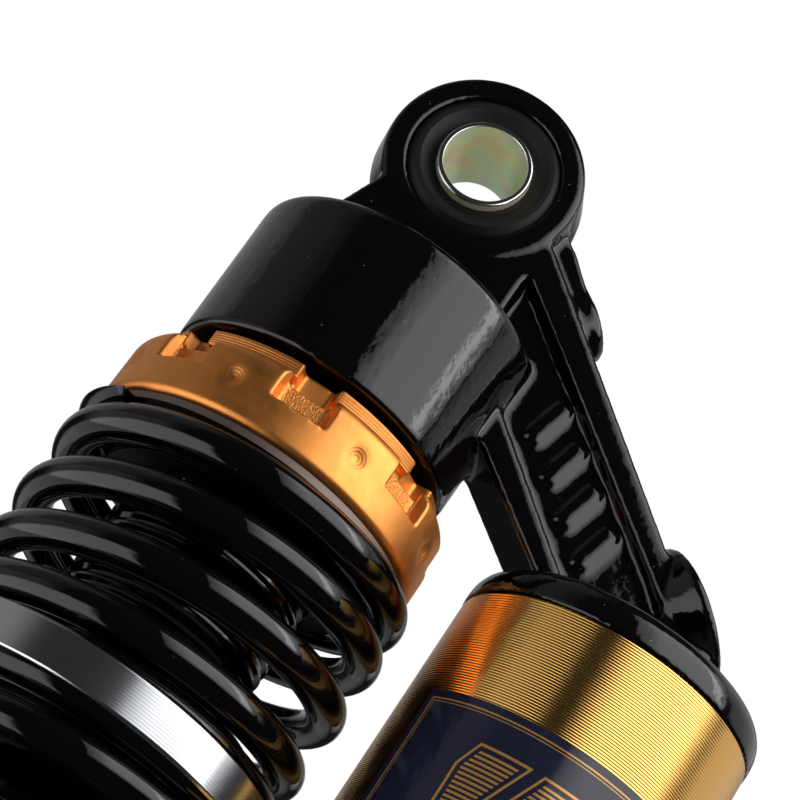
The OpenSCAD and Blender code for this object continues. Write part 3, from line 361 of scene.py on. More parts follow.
def black_enamel(name, peel_mm, dust, roughness=0.07):
    """Gloss enamel with orange peel and, where dust is over 0, specks of that strength."""
    material, tree, shader, place = base_finish(name, ENAMEL, roughness)
    peel = add(tree, "TexNoise", {"Vector": place, "Scale": 0.45, "Detail": 2.0, "Roughness": 0.5})
    coarse = add(tree, "Bump", {"Height": peel, "Distance": peel_mm * MM})
    fine = add(tree, "TexNoise", {"Vector": place, "Scale": 1.6, "Detail": 2.0})
    feed(shader, {"Normal": add(tree, "Bump", {"Height": fine, "Distance": 0.0016 * MM,
                                               "Normal": coarse})})
    if dust:
        cells = add(tree, "TexVoronoi", {"Vector": place, "Scale": 0.6, "Randomness": 1.0}).node
        pick = add(tree, "SeparateColor", {0: cells.outputs["Color"]})
        size = add(tree, "MapRange", {"Value": pick, "From Min": 0.3, "To Max": 0.085})
        near = add(tree, "Math", {0: size, 1: cells.outputs["Distance"]}, operation="SUBTRACT")
        speck = add(tree, "MapRange", {"Value": near, "From Max": 0.03, "To Max": dust})
        colour = add(tree, "Mix", {0: speck, 6: linear(ENAMEL), 7: linear(DUST)}, out=2,
                     data_type="RGBA")
        rough = add(tree, "MapRange", {"Value": speck, "To Min": roughness, "To Max": 0.5})
        feed(shader, {"Base Color": colour, "Roughness": rough})
    return material


casting_enamel = black_enamel("black_enamel_on_casting", peel_mm=0.06, dust=0.5)
spring_enamel = black_enamel("black_enamel_on_wire", peel_mm=0.02, dust=0.25, roughness=0.05)
part_enamel = black_enamel("black_enamel_on_parts", peel_mm=0.02, dust=0)
print("enamels:", casting_enamel.name, spring_enamel.name, part_enamel.name)

# %% [markdown]
# Anodised aluminium keeps its metal shine under a dyed skin. The collar is deep gold, tumbled
# before it was dyed, so its face is satin and a little cloudy. Its spigot inside the spring is
# painted nearly black: painted shade where the spring closes round it.

# %% Gold of the collar
COLLAR_R = 28.85
SPIGOT_Z = -70.4
COLLAR_GOLD, SHADED_SPIGOT_GOLD = "#fba556", "#1d1512"

gold_collar, tree, shader, place = base_finish("gold_anodised_satin", COLLAR_GOLD,
                                               roughness=0.4, metallic=1.0)
angle, radius, z = polar(tree, place)
grain = add(tree, "TexNoise", {"Vector": place, "Scale": 3.0, "Detail": 3.0})
normal = add(tree, "Bump", {"Height": grain, "Distance": 0.005 * MM})
cloud = add(tree, "TexNoise", {"Vector": place, "Scale": 0.35, "Detail": 5.0, "Roughness": 0.65})
satin = add(tree, "MapRange", {"Value": cloud, "From Min": 0.3, "From Max": 0.7, "To Min": 0.4,
                               "To Max": 0.52})
# Below the collar's body the gold is swapped for a near-black colour, which is painted shade inside the
# spring.
spigot_shade = band(tree, z, SPIGOT_Z - 10, SPIGOT_Z, soft=0.3)
colour = add(tree, "Mix", {0: spigot_shade, 6: linear(COLLAR_GOLD), 7: linear(SHADED_SPIGOT_GOLD)}, out=2,
             data_type="RGBA")
feed(shader, {"Base Color": colour, "Roughness": satin})
print("collar:", gold_collar.name)

# %% [markdown]
# The neck above the collar's shoulder has fine turned grooves, and the walls of the notches are
# rough from the milling cutter. Both are finer than half a millimetre, so they are bumps that a
# band of radius and height keeps in their place.

# %% Grooves and milled walls
NECK_TOP_Z = -55.0
SHOULDER_Z = -57.6
NECK_R = (25.2, 25.8)
GROOVE_PITCH = 0.45
NOTCH_WALL_R = (25.62, 26.9)
NOTCH_DEPTH = 5.7

on_neck = add(tree, "Math", {0: band(tree, z, SHOULDER_Z - 0.3, NECK_TOP_Z),
                             1: band(tree, radius, *NECK_R)}, operation="MULTIPLY")
lines = add(tree, "Math", {0: on_neck, 1: ridges(tree, z, GROOVE_PITCH)},
            operation="MULTIPLY")
normal = add(tree, "Bump", {"Height": lines, "Distance": 0.07 * MM, "Normal": normal})
wall = add(tree, "Math", {0: band(tree, radius, *NOTCH_WALL_R),
                          1: band(tree, z, SHOULDER_Z - NOTCH_DEPTH, SHOULDER_Z - 0.1)},
           operation="MULTIPLY")
grit = add(tree, "TexNoise", {"Vector": place, "Scale": 2.8, "Detail": 3.0})
grit = add(tree, "Math", {0: wall, 1: grit}, operation="MULTIPLY")
normal = add(tree, "Bump", {"Height": grit, "Distance": 0.16 * MM, "Normal": normal})
print("notch walls from", NOTCH_WALL_R[0], "to", NOTCH_WALL_R[1], "mm")

# %% [markdown]
# A drill touched the collar halfway between the notches and left rings there. The angle is
# folded into one step of the pattern, so one set of rings serves all eight marks.

# %% Rings of the drill marks
NOTCH_FACING = -86.1
MARK_STEP = 45
MARK_Z = -63.7
MARK_R, RING_PITCH = 2.2, 0.55
FACE_R = (27.0, 29.5)

offset = add(tree, "Math", {0: angle, 1: NOTCH_FACING - 360}, operation="SUBTRACT")
around = add(tree, "Math", {0: offset, 1: float(MARK_STEP)}, operation="MODULO")
across = add(tree, "Math", {0: around, 1: MARK_STEP / 2}, operation="SUBTRACT")
across = add(tree, "Math", {0: across, 1: COLLAR_R * math.pi / 180}, operation="MULTIPLY")
up = add(tree, "Math", {0: z, 1: MARK_Z}, operation="SUBTRACT")
flat = add(tree, "CombineXYZ", {0: across, 1: up})
away = add(tree, "VectorMath", {0: flat}, out=1, operation="LENGTH")
marks = add(tree, "Math", {0: band(tree, away, 0.0, MARK_R), 1: ridges(tree, away, RING_PITCH)},
            operation="MULTIPLY")
outer = add(tree, "Math", {0: marks, 1: band(tree, radius, *FACE_R)}, operation="MULTIPLY")
feed(shader, {"Normal": add(tree, "Bump", {"Height": outer, "Distance": 0.014 * MM,
                                           "Normal": normal})})
print("drill marks every", MARK_STEP, "degrees")

# %% [markdown]
# The reservoir tube is turned and dyed paler. Its grooves are one every 0.45 mm, and they spread
# each highlight along the tube, so it shows bright and dark stripes. The knob is the same
# aluminium, tumbled and dyed deeper.

# %% Gold of the reservoir and the knob
RESERVOIR_X = 61.4
TUBE_SIDE_R = (24.9, 26.0)

gold_tube, tree, shader, place = base_finish("gold_anodised_turned", "#fbc26b",
                                             roughness=0.16, metallic=1.0)
radius, z = polar(tree, place, RESERVOIR_X)[1:]
grooves = add(tree, "Math", {0: band(tree, radius, *TUBE_SIDE_R),
                             1: ridges(tree, z, GROOVE_PITCH)}, operation="MULTIPLY")
normal = add(tree, "Bump", {"Height": grooves, "Distance": 0.055 * MM})
drift = add(tree, "TexNoise", {"Vector": place, "Scale": 0.12, "Detail": 2.0})
feed(shader, {"Normal": add(tree, "Bump", {"Height": drift, "Distance": 0.02 * MM,
                                           "Normal": normal})})

gold_knob, tree, shader, place = base_finish("gold_anodised_knob", "#f0a14e",
                                             roughness=0.25, metallic=1.0)
grain = add(tree, "TexNoise", {"Vector": place, "Scale": 3.0, "Detail": 3.0})
feed(shader, {"Normal": add(tree, "Bump", {"Height": grain, "Distance": 0.003 * MM})})
print("gold finishes:", gold_tube.name, gold_knob.name)

# %% [markdown]
# Bare metals differ in colour, in roughness and in the marks of their making: an even grain from
# tumbling or stamping, or turning marks of one pitch along the axis.

# %% Steel and other metals
def metal(name, colour, roughness, grain_mm=0.0, turned_pitch=0.0):
    """A bare metal with grain of one depth, or turning marks where a pitch is given."""
    material, tree, shader, place = base_finish(name, colour, roughness, metallic=1.0)
    if turned_pitch:
        marks = ridges(tree, add(tree, "SeparateXYZ", {0: place}, out="Z"), turned_pitch)
    elif grain_mm:
        marks = add(tree, "TexNoise", {"Vector": place, "Scale": 1.2, "Detail": 3.0})
    else:
        return material
    feed(shader, {"Normal": add(tree, "Bump", {"Height": marks, "Distance": grain_mm * MM})})
    return material


# Turned, then polished: a bright mirror with soft edges. Its marks are about 0.1 mm apart, and
# they are drawn at 0.5 mm, because finer ones don't show.
polished_steel = metal("polished_steel", "#e2e4e8", 0.21, grain_mm=0.0025, turned_pitch=0.5)
# Stamped and left bare, so brownish grey and dull
dull_steel = metal("dull_washer_steel", "#8f8278", 0.6, grain_mm=0.006)
# Machined and oiled: mid grey with a broad highlight
machined_steel = metal("machined_steel", "#a9adb2", 0.33, grain_mm=0.003)
# Ground and hard chromed: nearly a mirror
chromed_steel = metal("hard_chrome", "#dfe3e8", 0.05)
# Machined brass of the gas valve, warm yellow
turned_brass = metal("machined_brass", "#c9a552", 0.28, grain_mm=0.003)
# Sintered bronze of the guide bush, brown and porous
sintered_bronze = metal("sintered_bronze", "#b07c45", 0.45, grain_mm=0.01)
print("metals: polished, dull, machined, chromed, brass, bronze")

# %% [markdown]
# The sleeves are zinc plated and yellow passivated. The thin film breaks the light into pale
# green, yellow and pink patches. It has worn off the ends, where the bracket rubs, so bright
# metal shows there.

# %% Yellow passivated zinc
WORN_Y = (9.2, 20.0)  # distance to the sleeve's middle, from the worn end outwards

yellow_zinc, tree, shader, place = base_finish("yellow_passivated_zinc", "#c9cba6",
                                               roughness=0.45, metallic=0.6)
patches = add(tree, "TexNoise", {"Vector": place, "Scale": 0.11, "Detail": 2.0})
film = add(tree, "ValToRGB", {"Fac": patches})
stops = [(0.34, "#e2cfb8"), (0.44, "#e3e2ac"), (0.56, "#cde2c6"), (0.7, "#e0babf")]
ramp = film.node.color_ramp
while len(ramp.elements) < len(stops):
    ramp.elements.new(0.5)
for element, (position, colour) in zip(ramp.elements, stops):
    element.position = position
    element.color = linear(colour)
side = add(tree, "SeparateXYZ", {0: place}, out="Y")
worn = band(tree, add(tree, "Math", {0: side}, operation="ABSOLUTE"), *WORN_Y, soft=0.1)
grain = add(tree, "TexNoise", {"Vector": place, "Scale": 2.5, "Detail": 3.0})
feed(shader, {
    "Base Color": add(tree, "Mix", {0: worn, 6: film, 7: linear("#eef0ee")}, out=2,
                      data_type="RGBA"),
    "Roughness": add(tree, "MapRange", {"Value": worn, "To Min": 0.45, "To Max": 0.14}),
    "Metallic": add(tree, "MapRange", {"Value": worn, "To Min": 0.55, "To Max": 1.0}),
    "Normal": add(tree, "Bump", {"Height": grain, "Distance": 0.008 * MM})})
print("zinc film with", len(stops), "tints")

# %% [markdown]
# Rubber, foam, nylon and moulded plastic are dull and even, with a faint grain from the mould.

# %% Rubber and plastics
def moulded(name, colour, roughness, grain_mm):
    """A moulded finish; its grain is about two thirds of a millimetre wide."""
    finish = base_finish(name, colour, roughness)
    tree, shader, place = finish[1:]
    grain = add(tree, "TexNoise", {"Vector": place, "Scale": 1.5, "Detail": 4.0})
    feed(shader, {"Normal": add(tree, "Bump", {"Height": grain, "Distance": grain_mm * MM})})
    return finish


seal_rubber = moulded("seal_rubber", "#141414", 0.5, grain_mm=0.005)[0]
bump_foam = moulded("bump_stop_foam", "#1b1b1a", 0.85, grain_mm=0.12)[0]
white_nylon = moulded("white_nylon", "#d8d5cb", 0.45, grain_mm=0.005)[0]
black_plastic = moulded("black_moulded_plastic", "#17181a", 0.45, grain_mm=0.01)[0]
print("plastics:", seal_rubber.name, bump_foam.name, white_nylon.name, black_plastic.name)

# %% [markdown]
# The bush in each eye is black rubber, duller than plastic, so its specular level is low. Brown
# lint has gathered in the corner between the rubber and the eye.

# %% Rubber of the bushes
BUSH_RUBBER, LINT = "#0b0b0b", "#5c5044"
BUSH_RIM_R, LINT_END_R = 14.6, 17.0

bush_rubber, tree, shader, place = moulded("bush_rubber", BUSH_RUBBER, 0.55, grain_mm=0.012)
split = add(tree, "SeparateXYZ", {0: place}).node
eye_r = distance(tree, split.outputs["X"], split.outputs["Z"])
lint = add(tree, "TexNoise", {"Vector": place, "Scale": 1.1, "Detail": 5.0, "Roughness": 0.7})
lint = add(tree, "MapRange", {"Value": lint, "From Min": 0.52, "From Max": 0.62})
lint = add(tree, "Math", {0: lint, 1: band(tree, eye_r, BUSH_RIM_R, LINT_END_R, soft=0.2)},
           operation="MULTIPLY")
colour = add(tree, "Mix", {0: lint, 6: linear(BUSH_RUBBER), 7: linear(LINT)}, out=2,
             data_type="RGBA")
feed(shader, {"Specular IOR Level": 0.3, "Base Color": colour})
print("lint from", BUSH_RIM_R, "mm out")

# %% [markdown]
# ## Label
# The label is a dark blue film with a gloss face, wrapped round the front of the reservoir. Its
# print could be an image, but lines drawn by arithmetic stay sharp at any distance. First comes
# each point's place on the film: how far along, and how far from the nearest edge.

# %% Places on the label
LABEL_TOP_Z, LABEL_BOTTOM_Z = -83.3, -123.3
LABEL_FROM, LABEL_TO = -147.0, -15.0
LABEL_R = 25.23
ARC = LABEL_R * math.pi / 180  # mm per degree
FILM, PRINT_GOLD = "#191b2a", "#b98a4a"

label_film, tree, shader, place = base_finish("label_film", FILM, 0.12)
angle, _, z = polar(tree, place, RESERVOIR_X)
along = add(tree, "Math", {0: angle, 1: ARC}, operation="MULTIPLY")
aside = add(tree, "Math", {0: along, 1: (LABEL_FROM + LABEL_TO) / 2 * ARC}, operation="SUBTRACT")
aside = add(tree, "Math", {0: aside}, operation="ABSOLUTE")
side_gap = add(tree, "Math", {0: (LABEL_TO - LABEL_FROM) / 2 * ARC, 1: aside},
               operation="SUBTRACT")
above = add(tree, "Math", {0: LABEL_TOP_Z, 1: z}, operation="SUBTRACT")
below = add(tree, "Math", {0: z, 1: LABEL_BOTTOM_Z}, operation="SUBTRACT")
edge_gap = add(tree, "Math", {0: above, 1: below}, operation="MINIMUM")
edge_gap = add(tree, "Math", {0: edge_gap, 1: side_gap}, operation="MINIMUM")
print("label", LABEL_TOP_Z - LABEL_BOTTOM_Z, "mm high and",
      round((LABEL_TO - LABEL_FROM) * ARC, 1), "mm long")

# %% [markdown]
# A fine double line runs round just inside the edge, and slanted, hatched bars stand where such
# a label has its print. A bar is what is left of a slanted row after folding it by the pitch.

# %% Frame and bars
OUTER_LINE, INNER_LINE = (1.25, 1.5), (1.85, 1.98)  # from the film's edge
ROW_TOP, ROW_BOTTOM, ROW_HALF = 6.2, 20.0, 17.0
BAR_PITCH, BAR_WIDE, BAR_SLANT = 10.5, 8.6, 0.45
BAR_LINE, BAR_FILL = (0.0, 0.42), (1.15, 50.0)  # from the bar's edge
HATCH_PITCH, HATCH_LINE = 0.8, (0.1, 0.5)

rim = add(tree, "Math", {0: band(tree, edge_gap, *OUTER_LINE),
                         1: band(tree, edge_gap, *INNER_LINE)}, operation="MAXIMUM")
lean = add(tree, "Math", {0: z, 1: BAR_SLANT}, operation="MULTIPLY")
cell = add(tree, "Math", {0: along, 1: lean}, operation="SUBTRACT")
cell = add(tree, "Math", {0: cell, 1: BAR_PITCH}, operation="FLOORED_MODULO")
inside = add(tree, "Math", {0: BAR_WIDE, 1: cell}, operation="SUBTRACT")
inside = add(tree, "Math", {0: cell, 1: inside}, operation="MINIMUM")
for start, minus in ((above, ROW_TOP), (ROW_BOTTOM, above), (ROW_HALF, aside)):
    gap = add(tree, "Math", {0: start, 1: minus}, operation="SUBTRACT")
    inside = add(tree, "Math", {0: inside, 1: gap}, operation="MINIMUM")
hatch = add(tree, "Math", {0: z, 1: HATCH_PITCH}, operation="FLOORED_MODULO")
fill = add(tree, "Math", {0: band(tree, inside, *BAR_FILL), 1: band(tree, hatch, *HATCH_LINE)},
           operation="MULTIPLY")
bars = add(tree, "Math", {0: band(tree, inside, *BAR_LINE), 1: fill}, operation="MAXIMUM")
ink = add(tree, "Math", {0: rim, 1: bars}, operation="MAXIMUM")
print("bars", BAR_WIDE, "mm wide, one every", BAR_PITCH, "mm")

# %% [markdown]
# The print is a metallic ink. The film lies in faint rumples and has one sharp crease where it
# was pressed on.

# %% Film and crease
CREASE_AT = -99.8

rumple = add(tree, "TexNoise", {"Vector": place, "Scale": 0.35, "Detail": 1.0})
normal = add(tree, "Bump", {"Height": rumple, "Distance": 0.02 * MM})
crease = band(tree, angle, CREASE_AT - 0.2, CREASE_AT + 0.2, soft=1.0)
feed(shader, {
    "Base Color": add(tree, "Mix", {0: ink, 6: linear(FILM), 7: linear(PRINT_GOLD)}, out=2,
                      data_type="RGBA"),
    "Metallic": add(tree, "Math", {0: ink, 1: 0.55}, operation="MULTIPLY"),
    "Normal": add(tree, "Bump", {"Height": crease, "Distance": 0.14 * MM, "Normal": normal})})
print("crease at", CREASE_AT, "degrees")

# %% [markdown]
# ## Copies that can be worked on
# A CAD mesh comes as loose triangles and is never changed. A copy is joined at its seams first,
# then it can be rounded or bevelled, and it stands for the CAD node.

# %% Working copies
SEAM = 0.002 * MM


def working_copy(node, name):
    """A joined copy of a CAD node's mesh, ready for modifiers."""
    mesh = frame["nodes"][node].data.copy()
    mesh.name = name
    work = bmesh.new()
    work.from_mesh(mesh)
    bmesh.ops.remove_doubles(work, verts=work.verts, dist=SEAM)
    work.to_mesh(mesh)
    work.free()
    if "custom_normal" in mesh.attributes:
        mesh.attributes.remove(mesh.attributes["custom_normal"])
    mesh.materials.clear()
    piece = bpy.data.objects.new(name, mesh)
    scene.collection.objects.link(piece)
    return piece


def settle(piece):
    """Replaces a piece's mesh by what its modifiers make of it."""
    shaped = piece.evaluated_get(bpy.context.evaluated_depsgraph_get())
    mesh = bpy.data.meshes.new_from_object(shaped)
    piece.modifiers.clear()
    piece.data = mesh
    return mesh


def triangles(mesh):
    """Number of triangles that a mesh's faces come to."""
    return sum(len(face.vertices) - 2 for face in mesh.polygons)


def points_of(mesh):
    """A mesh's points in metres, one row each."""
    points = np.empty(len(mesh.vertices) * 3)
    mesh.vertices.foreach_get("co", points)
    return points.reshape(-1, 3)


print("CAD nodes:", len(frame["nodes"]))

# %% [markdown]
# ## Rounding by voxels
# On a casting or a tumbled part every corner is round. Bevels fail where forms run into each
# other, so the copy is turned into small voxels and relaxed: in each round every point moves
# part of the way to the middle of its neighbours. Each place can have its own share.

# %% Rounded copies
def rounded_copy(node, name, voxel, rounds, softness, most_triangles):
    """A copy of a node with every corner rounded; softness gives each point's share per round."""
    piece = working_copy(node, name)
    remesh = piece.modifiers.new("voxels", "REMESH")
    remesh.mode = "VOXEL"
    remesh.voxel_size = voxel * MM
    mesh = settle(piece)
    points = points_of(mesh)
    count = len(points)
    ends = np.empty(len(mesh.edges) * 2, int)
    mesh.edges.foreach_get("vertices", ends)
    ends = ends.reshape(-1, 2)
    links = np.bincount(ends.ravel(), minlength=count)
    for step in range(rounds):
        share = softness(step, *(points.T / MM))
        middle = np.empty_like(points)
        for axis in range(3):
            value = points[:, axis]
            middle[:, axis] = (np.bincount(ends[:, 0], value[ends[:, 1]], count)
                               + np.bincount(ends[:, 1], value[ends[:, 0]], count)) / links
        points += np.broadcast_to(share, count)[:, None] * (middle - points)
    mesh.vertices.foreach_set("co", points.ravel())
    mesh.update()
    thin = piece.modifiers.new("thin", "DECIMATE")
    thin.ratio = min(1, most_triangles / triangles(mesh))
    settle(piece).shade_smooth()
    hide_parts(node)
    print(name, count, "points relaxed,", triangles(piece.data), "triangles")
    return piece


print("voxel rounding ready")

# %% [markdown]
# Eye, web, head, arm and reservoir cap are one die casting, blasted with sand and enamelled. The
# arm's recess with its bars and ribs is softest, because the enamel pools there. The joint face
# of the cap moves half as far as the rest, and both stop after five rounds.

# %% Head casting
RECESS_X, RECESS_Y, RECESS_Z = (18, 66), 6.8, -14
CAP_Z = -62.5


def casting_softness(step, x, y, z):
    """Half of the way in the recess in every round, elsewhere only in the first five."""
    in_recess = (np.abs(y) < RECESS_Y) & (x > RECESS_X[0]) & (x < RECESS_X[1]) & (z < RECESS_Z)
    open_forms = np.where(z < CAP_Z, 0.25, 0.5) if step < 5 else 0.0
    return np.where(in_recess, 0.5, open_forms)


casting = rounded_copy("head_casting", "head_casting_soft", voxel=0.5, rounds=10,
                       softness=casting_softness, most_triangles=185000)
casting.data.materials.append(casting_enamel)
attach(casting, "upper_body")

# %% [markdown]
# The collar is milled and drilled, and then its edges are broken. Voxels of a third of a
# millimetre keep its notches. Its lower lip is turned with a larger radius, so it is relaxed in
# every round, and so are the drill marks.

# %% Preload collar
MARK_FACING = -63.6
LIP_Z, LIP_R = -69.0, 27.8
MARK_REACH = 2.9


def beside_mark(x, y, z):
    """Distance in mm to the middle of the nearest drill mark, along the collar's face."""
    half = MARK_STEP / 2
    aside = (np.degrees(np.arctan2(y, x)) - MARK_FACING + half) % MARK_STEP - half
    return np.hypot(np.radians(aside) * np.hypot(x, y), z - MARK_Z)


def collar_softness(step, x, y, z):
    """Half of the way on the lip and in the drill marks, elsewhere only in three rounds."""
    radius = np.hypot(x, y)
    lip = (z < LIP_Z) & (radius > LIP_R)
    mark = (radius > 26) & (beside_mark(x, y, z) < MARK_REACH)
    return np.where(lip | mark, 0.5, 0.5 if step < 3 else 0.0)


collar = rounded_copy("preload_ring", "preload_collar_soft", voxel=0.31, rounds=12,
                      softness=collar_softness, most_triangles=199000)
collar.data.materials.append(gold_collar)
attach(collar, "preload_collar")

# %% [markdown]
# The drill only touched the collar, so each mark is made shallower: its points move straight out
# until only a part of their depth is left.

# %% Shallow drill marks
MARK_DEPTH = 0.6  # share of the CAD's depth that stays


def flatten_marks(mesh):
    """Moves the points of each drill mark out towards the collar's face."""
    points = points_of(mesh)
    x, y, z = points.T / MM
    radius = np.hypot(x, y)
    near = (radius > 26.5) & (radius < COLLAR_R) & (beside_mark(x, y, z) < 3)
    wanted = np.where(near, COLLAR_R - MARK_DEPTH * (COLLAR_R - radius), radius)
    points[:, :2] *= (wanted / np.maximum(radius, 1e-6))[:, None]
    mesh.vertices.foreach_set("co", points.ravel())
    mesh.update()
    print(int(near.sum()), "points of the drill marks moved")


flatten_marks(collar.data)

# %% [markdown]
# ## Springs
# Both springs follow one rule: a closed turn, even turns, a closed turn, of round wire. That is
# work for Geometry Nodes. The table has one row for each Math node: its name, its operation and
# what it works on. It gives each point on the wire its turn, its angle and its height. The wire
# reaches a little beyond each seat, by the overhang, because the ends are ground off later.

# %% Rule of a coil
SPRING_SIZES = dict.fromkeys(
    ("Turns", "Wire", "Coil Radius", "Length", "End Gap", "Tip Thickness", "Tip Angle", "Top",
     "Lean X", "Lean Y", "Shift X"), "Float")
SPRING_SIZES.update({"Points": "Int", "Sides": "Int", "Finish": "Material"})
PITCH_CHANGE = 0.25  # turns over which the pitch changes
SEATED = 0.6  # turns at the start that lie still on the seat
COIL_RULE = [
    ("last", "SUBTRACT", "Points", 1.0),
    ("share", "DIVIDE", "index", "last"),
    ("turn", "MULTIPLY", "share", "Turns"),
    ("closed pitch", "ADD", "Wire", "End Gap"),
    ("wire radius", "DIVIDE", "Wire", 2.0),
    ("overhang", "SUBTRACT", "wire radius", "Tip Thickness"),
    ("both overhangs", "MULTIPLY", "overhang", 2.0),
    ("span", "ADD", "Length", "both overhangs"),
    ("active turns", "SUBTRACT", "Turns", 2.0),
    ("closed span", "MULTIPLY", "closed pitch", 2.0),
    ("active span", "SUBTRACT", "span", "closed span"),
    ("pitch", "DIVIDE", "active span", "active turns"),
    ("before end", "SUBTRACT", "Turns", 1.0),
    ("first", "SMOOTH_MIN", "turn", 1.0, PITCH_CHANGE),
    ("past last", "SUBTRACT", "turn", "before end"),
    ("final", "SMOOTH_MAX", "past last", 0.0, PITCH_CHANGE),
    ("after first", "SUBTRACT", "turn", "first"),
    ("even", "SUBTRACT", "after first", "final"),
    ("closed turns", "ADD", "first", "final"),
    ("closed depth", "MULTIPLY", "closed turns", "closed pitch"),
    ("even depth", "MULTIPLY", "even", "pitch"),
    ("both depths", "ADD", "closed depth", "even depth"),
    ("depth", "SUBTRACT", "both depths", "overhang"),
    ("height", "SUBTRACT", "Top", "depth"),
    ("turned", "MULTIPLY", "turn", 2 * math.pi),
    ("around", "SUBTRACT", "Tip Angle", "turned"),
    ("cosine", "COSINE", "around"),
    ("sine", "SINE", "around"),
    ("x", "MULTIPLY", "cosine", "Coil Radius"),
    ("y", "MULTIPLY", "sine", "Coil Radius"),
    ("lean of x", "MULTIPLY", "x", "Lean X"),
    ("lean of y", "MULTIPLY", "y", "Lean Y"),
    ("lean", "ADD", "lean of x", "lean of y"),
    ("from start", "SUBTRACT", "turn", SEATED),
    ("to end", "SUBTRACT", "before end", "turn"),
    ("away", "MINIMUM", "from start", "to end"),
]
print("coil rule:", len(COIL_RULE), "steps")

# %% [markdown]
# The tree builds the table's nodes, lets the free turns lean and shift a little, as a real
# spring under load does, and sweeps the wire along the points. Each point keeps its turn as an
# attribute, because the springs are parted and squeezed by it later.

# %% Spring tree
spring_wire = bpy.data.node_groups.new("spring_wire", "GeometryNodeTree")
for name, kind in SPRING_SIZES.items():
    spring_wire.interface.new_socket(name, in_out="INPUT", socket_type="NodeSocket" + kind)
spring_wire.interface.new_socket("Wire Mesh", in_out="OUTPUT", socket_type="NodeSocketGeometry")
given = spring_wire.nodes.new("NodeGroupInput").outputs
made = {name: given[name] for name in SPRING_SIZES}
made["index"] = add(spring_wire, "GeometryNodeInputIndex")
for name, operation, *values in COIL_RULE:
    made[name] = add(spring_wire, "Math", {i: made.get(v, v) for i, v in enumerate(values)},
                     operation=operation)
free = add(spring_wire, "MapRange", {"Value": made["away"], "To Max": 1.0},
           interpolation_type="SMOOTHSTEP")
place = add(spring_wire, "CombineXYZ", {0: made["x"], 1: made["y"], 2: made["height"]})
sway = add(spring_wire, "CombineXYZ", {0: given["Shift X"], 2: made["lean"]})
sway = add(spring_wire, "VectorMath", {0: sway, "Scale": free}, operation="SCALE")
place = add(spring_wire, "VectorMath", {0: place, 1: sway}, operation="ADD")
wire = add(spring_wire, "GeometryNodeMeshLine", {"Count": given["Points"]})
wire = add(spring_wire, "GeometryNodeSetPosition", {"Geometry": wire, "Position": place})
wire = add(spring_wire, "GeometryNodeStoreNamedAttribute",
           {"Geometry": wire, "Name": "turn", "Value": made["turn"]})
wire = add(spring_wire, "GeometryNodeMeshToCurve", {"Mesh": wire})
section = add(spring_wire, "GeometryNodeCurvePrimitiveCircle",
              {"Resolution": given["Sides"], "Radius": made["wire radius"]})
wire = add(spring_wire, "GeometryNodeCurveToMesh",
           {"Curve": wire, "Profile Curve": section, "Fill Caps": True})
wire = add(spring_wire, "GeometryNodeRealizeInstances", {"Geometry": wire})
wire = add(spring_wire, "GeometryNodeSetMaterial", {"Geometry": wire, "Material": given["Finish"]})
feed(spring_wire.nodes.new("NodeGroupOutput"), {0: wire})
print("spring tree:", len(spring_wire.nodes), "nodes")

# %% [markdown]
# The modifier turns the tree into a plain mesh. Both ends of a real spring are ground flat, so
# the wire is then cut at its two seats, and the edges of the ground faces stay sharp.

# %% Wire of one spring
WIRE, COIL_R, END_GAP, TIP_THICKNESS = 6.25, 27.875, 0.15, 1.4
POINTS_PER_TURN, WIRE_SIDES = 96, 40
LEVEL = 0.9995  # least Z of a level face's normal


def flat_edges(mesh):
    """For each edge, whether it bounds a large level face, which is a ground one."""
    ground = set()
    for face in mesh.polygons:
        if abs(face.normal.z) > LEVEL and face.area > (2 * MM) ** 2:
            ground.update(face.edge_keys)
    return [edge.key in ground for edge in mesh.edges]


def coil(name, top, length, turns, facing, lean=(0, 0), shift=0.0):
    """A ground spring as a new object, with its turn attribute."""
    piece = bpy.data.objects.new(name, bpy.data.meshes.new(name))
    scene.collection.objects.link(piece)
    modifier = piece.modifiers.new("wire", "NODES")
    modifier.node_group = spring_wire
    values = {"Turns": turns, "Wire": WIRE * MM, "Coil Radius": COIL_R * MM, "Length": length * MM,
              "End Gap": END_GAP * MM, "Tip Thickness": TIP_THICKNESS * MM,
              "Tip Angle": math.radians(facing), "Top": top * MM, "Lean X": lean[0],
              "Lean Y": lean[1], "Shift X": shift * MM,
              "Points": int(turns * POINTS_PER_TURN) + 1, "Sides": WIRE_SIDES,
              "Finish": spring_enamel}
    for socket in spring_wire.interface.items_tree:
        if socket.in_out == "INPUT":
            modifier[socket.identifier] = values[socket.name]
    settle(piece)
    work = bmesh.new()
    work.from_mesh(piece.data)
    for level, up in ((top, 1), (top - length, -1)):
        cut = bmesh.ops.bisect_plane(work, geom=work.verts[:] + work.edges[:] + work.faces[:],
                                     plane_co=(0, 0, level * MM), plane_no=(0, 0, up),
                                     clear_outer=True)["geom_cut"]
        rim = [e for e in cut if isinstance(e, bmesh.types.BMEdge)]
        bmesh.ops.holes_fill(work, edges=rim)
    bmesh.ops.remove_doubles(work, verts=work.verts, dist=0.001 * MM)
    bmesh.ops.recalc_face_normals(work, faces=work.faces)
    work.to_mesh(piece.data)
    work.free()
    piece.data.shade_smooth()
    for edge, sharp in zip(piece.data.edges, flat_edges(piece.data)):
        edge.use_edge_sharp = sharp
    print(name, triangles(piece.data), "triangles")
    return piece


print("wire", WIRE, "mm, coil radius", COIL_R, "mm")

# %% [markdown]
# The upper spring is short and stands slightly askew between the collar and the separator. The
# lower one is long and straight. Its first turn is closed, and its tip faces the reservoir side,
# so that this turn lies against the separator at the front.

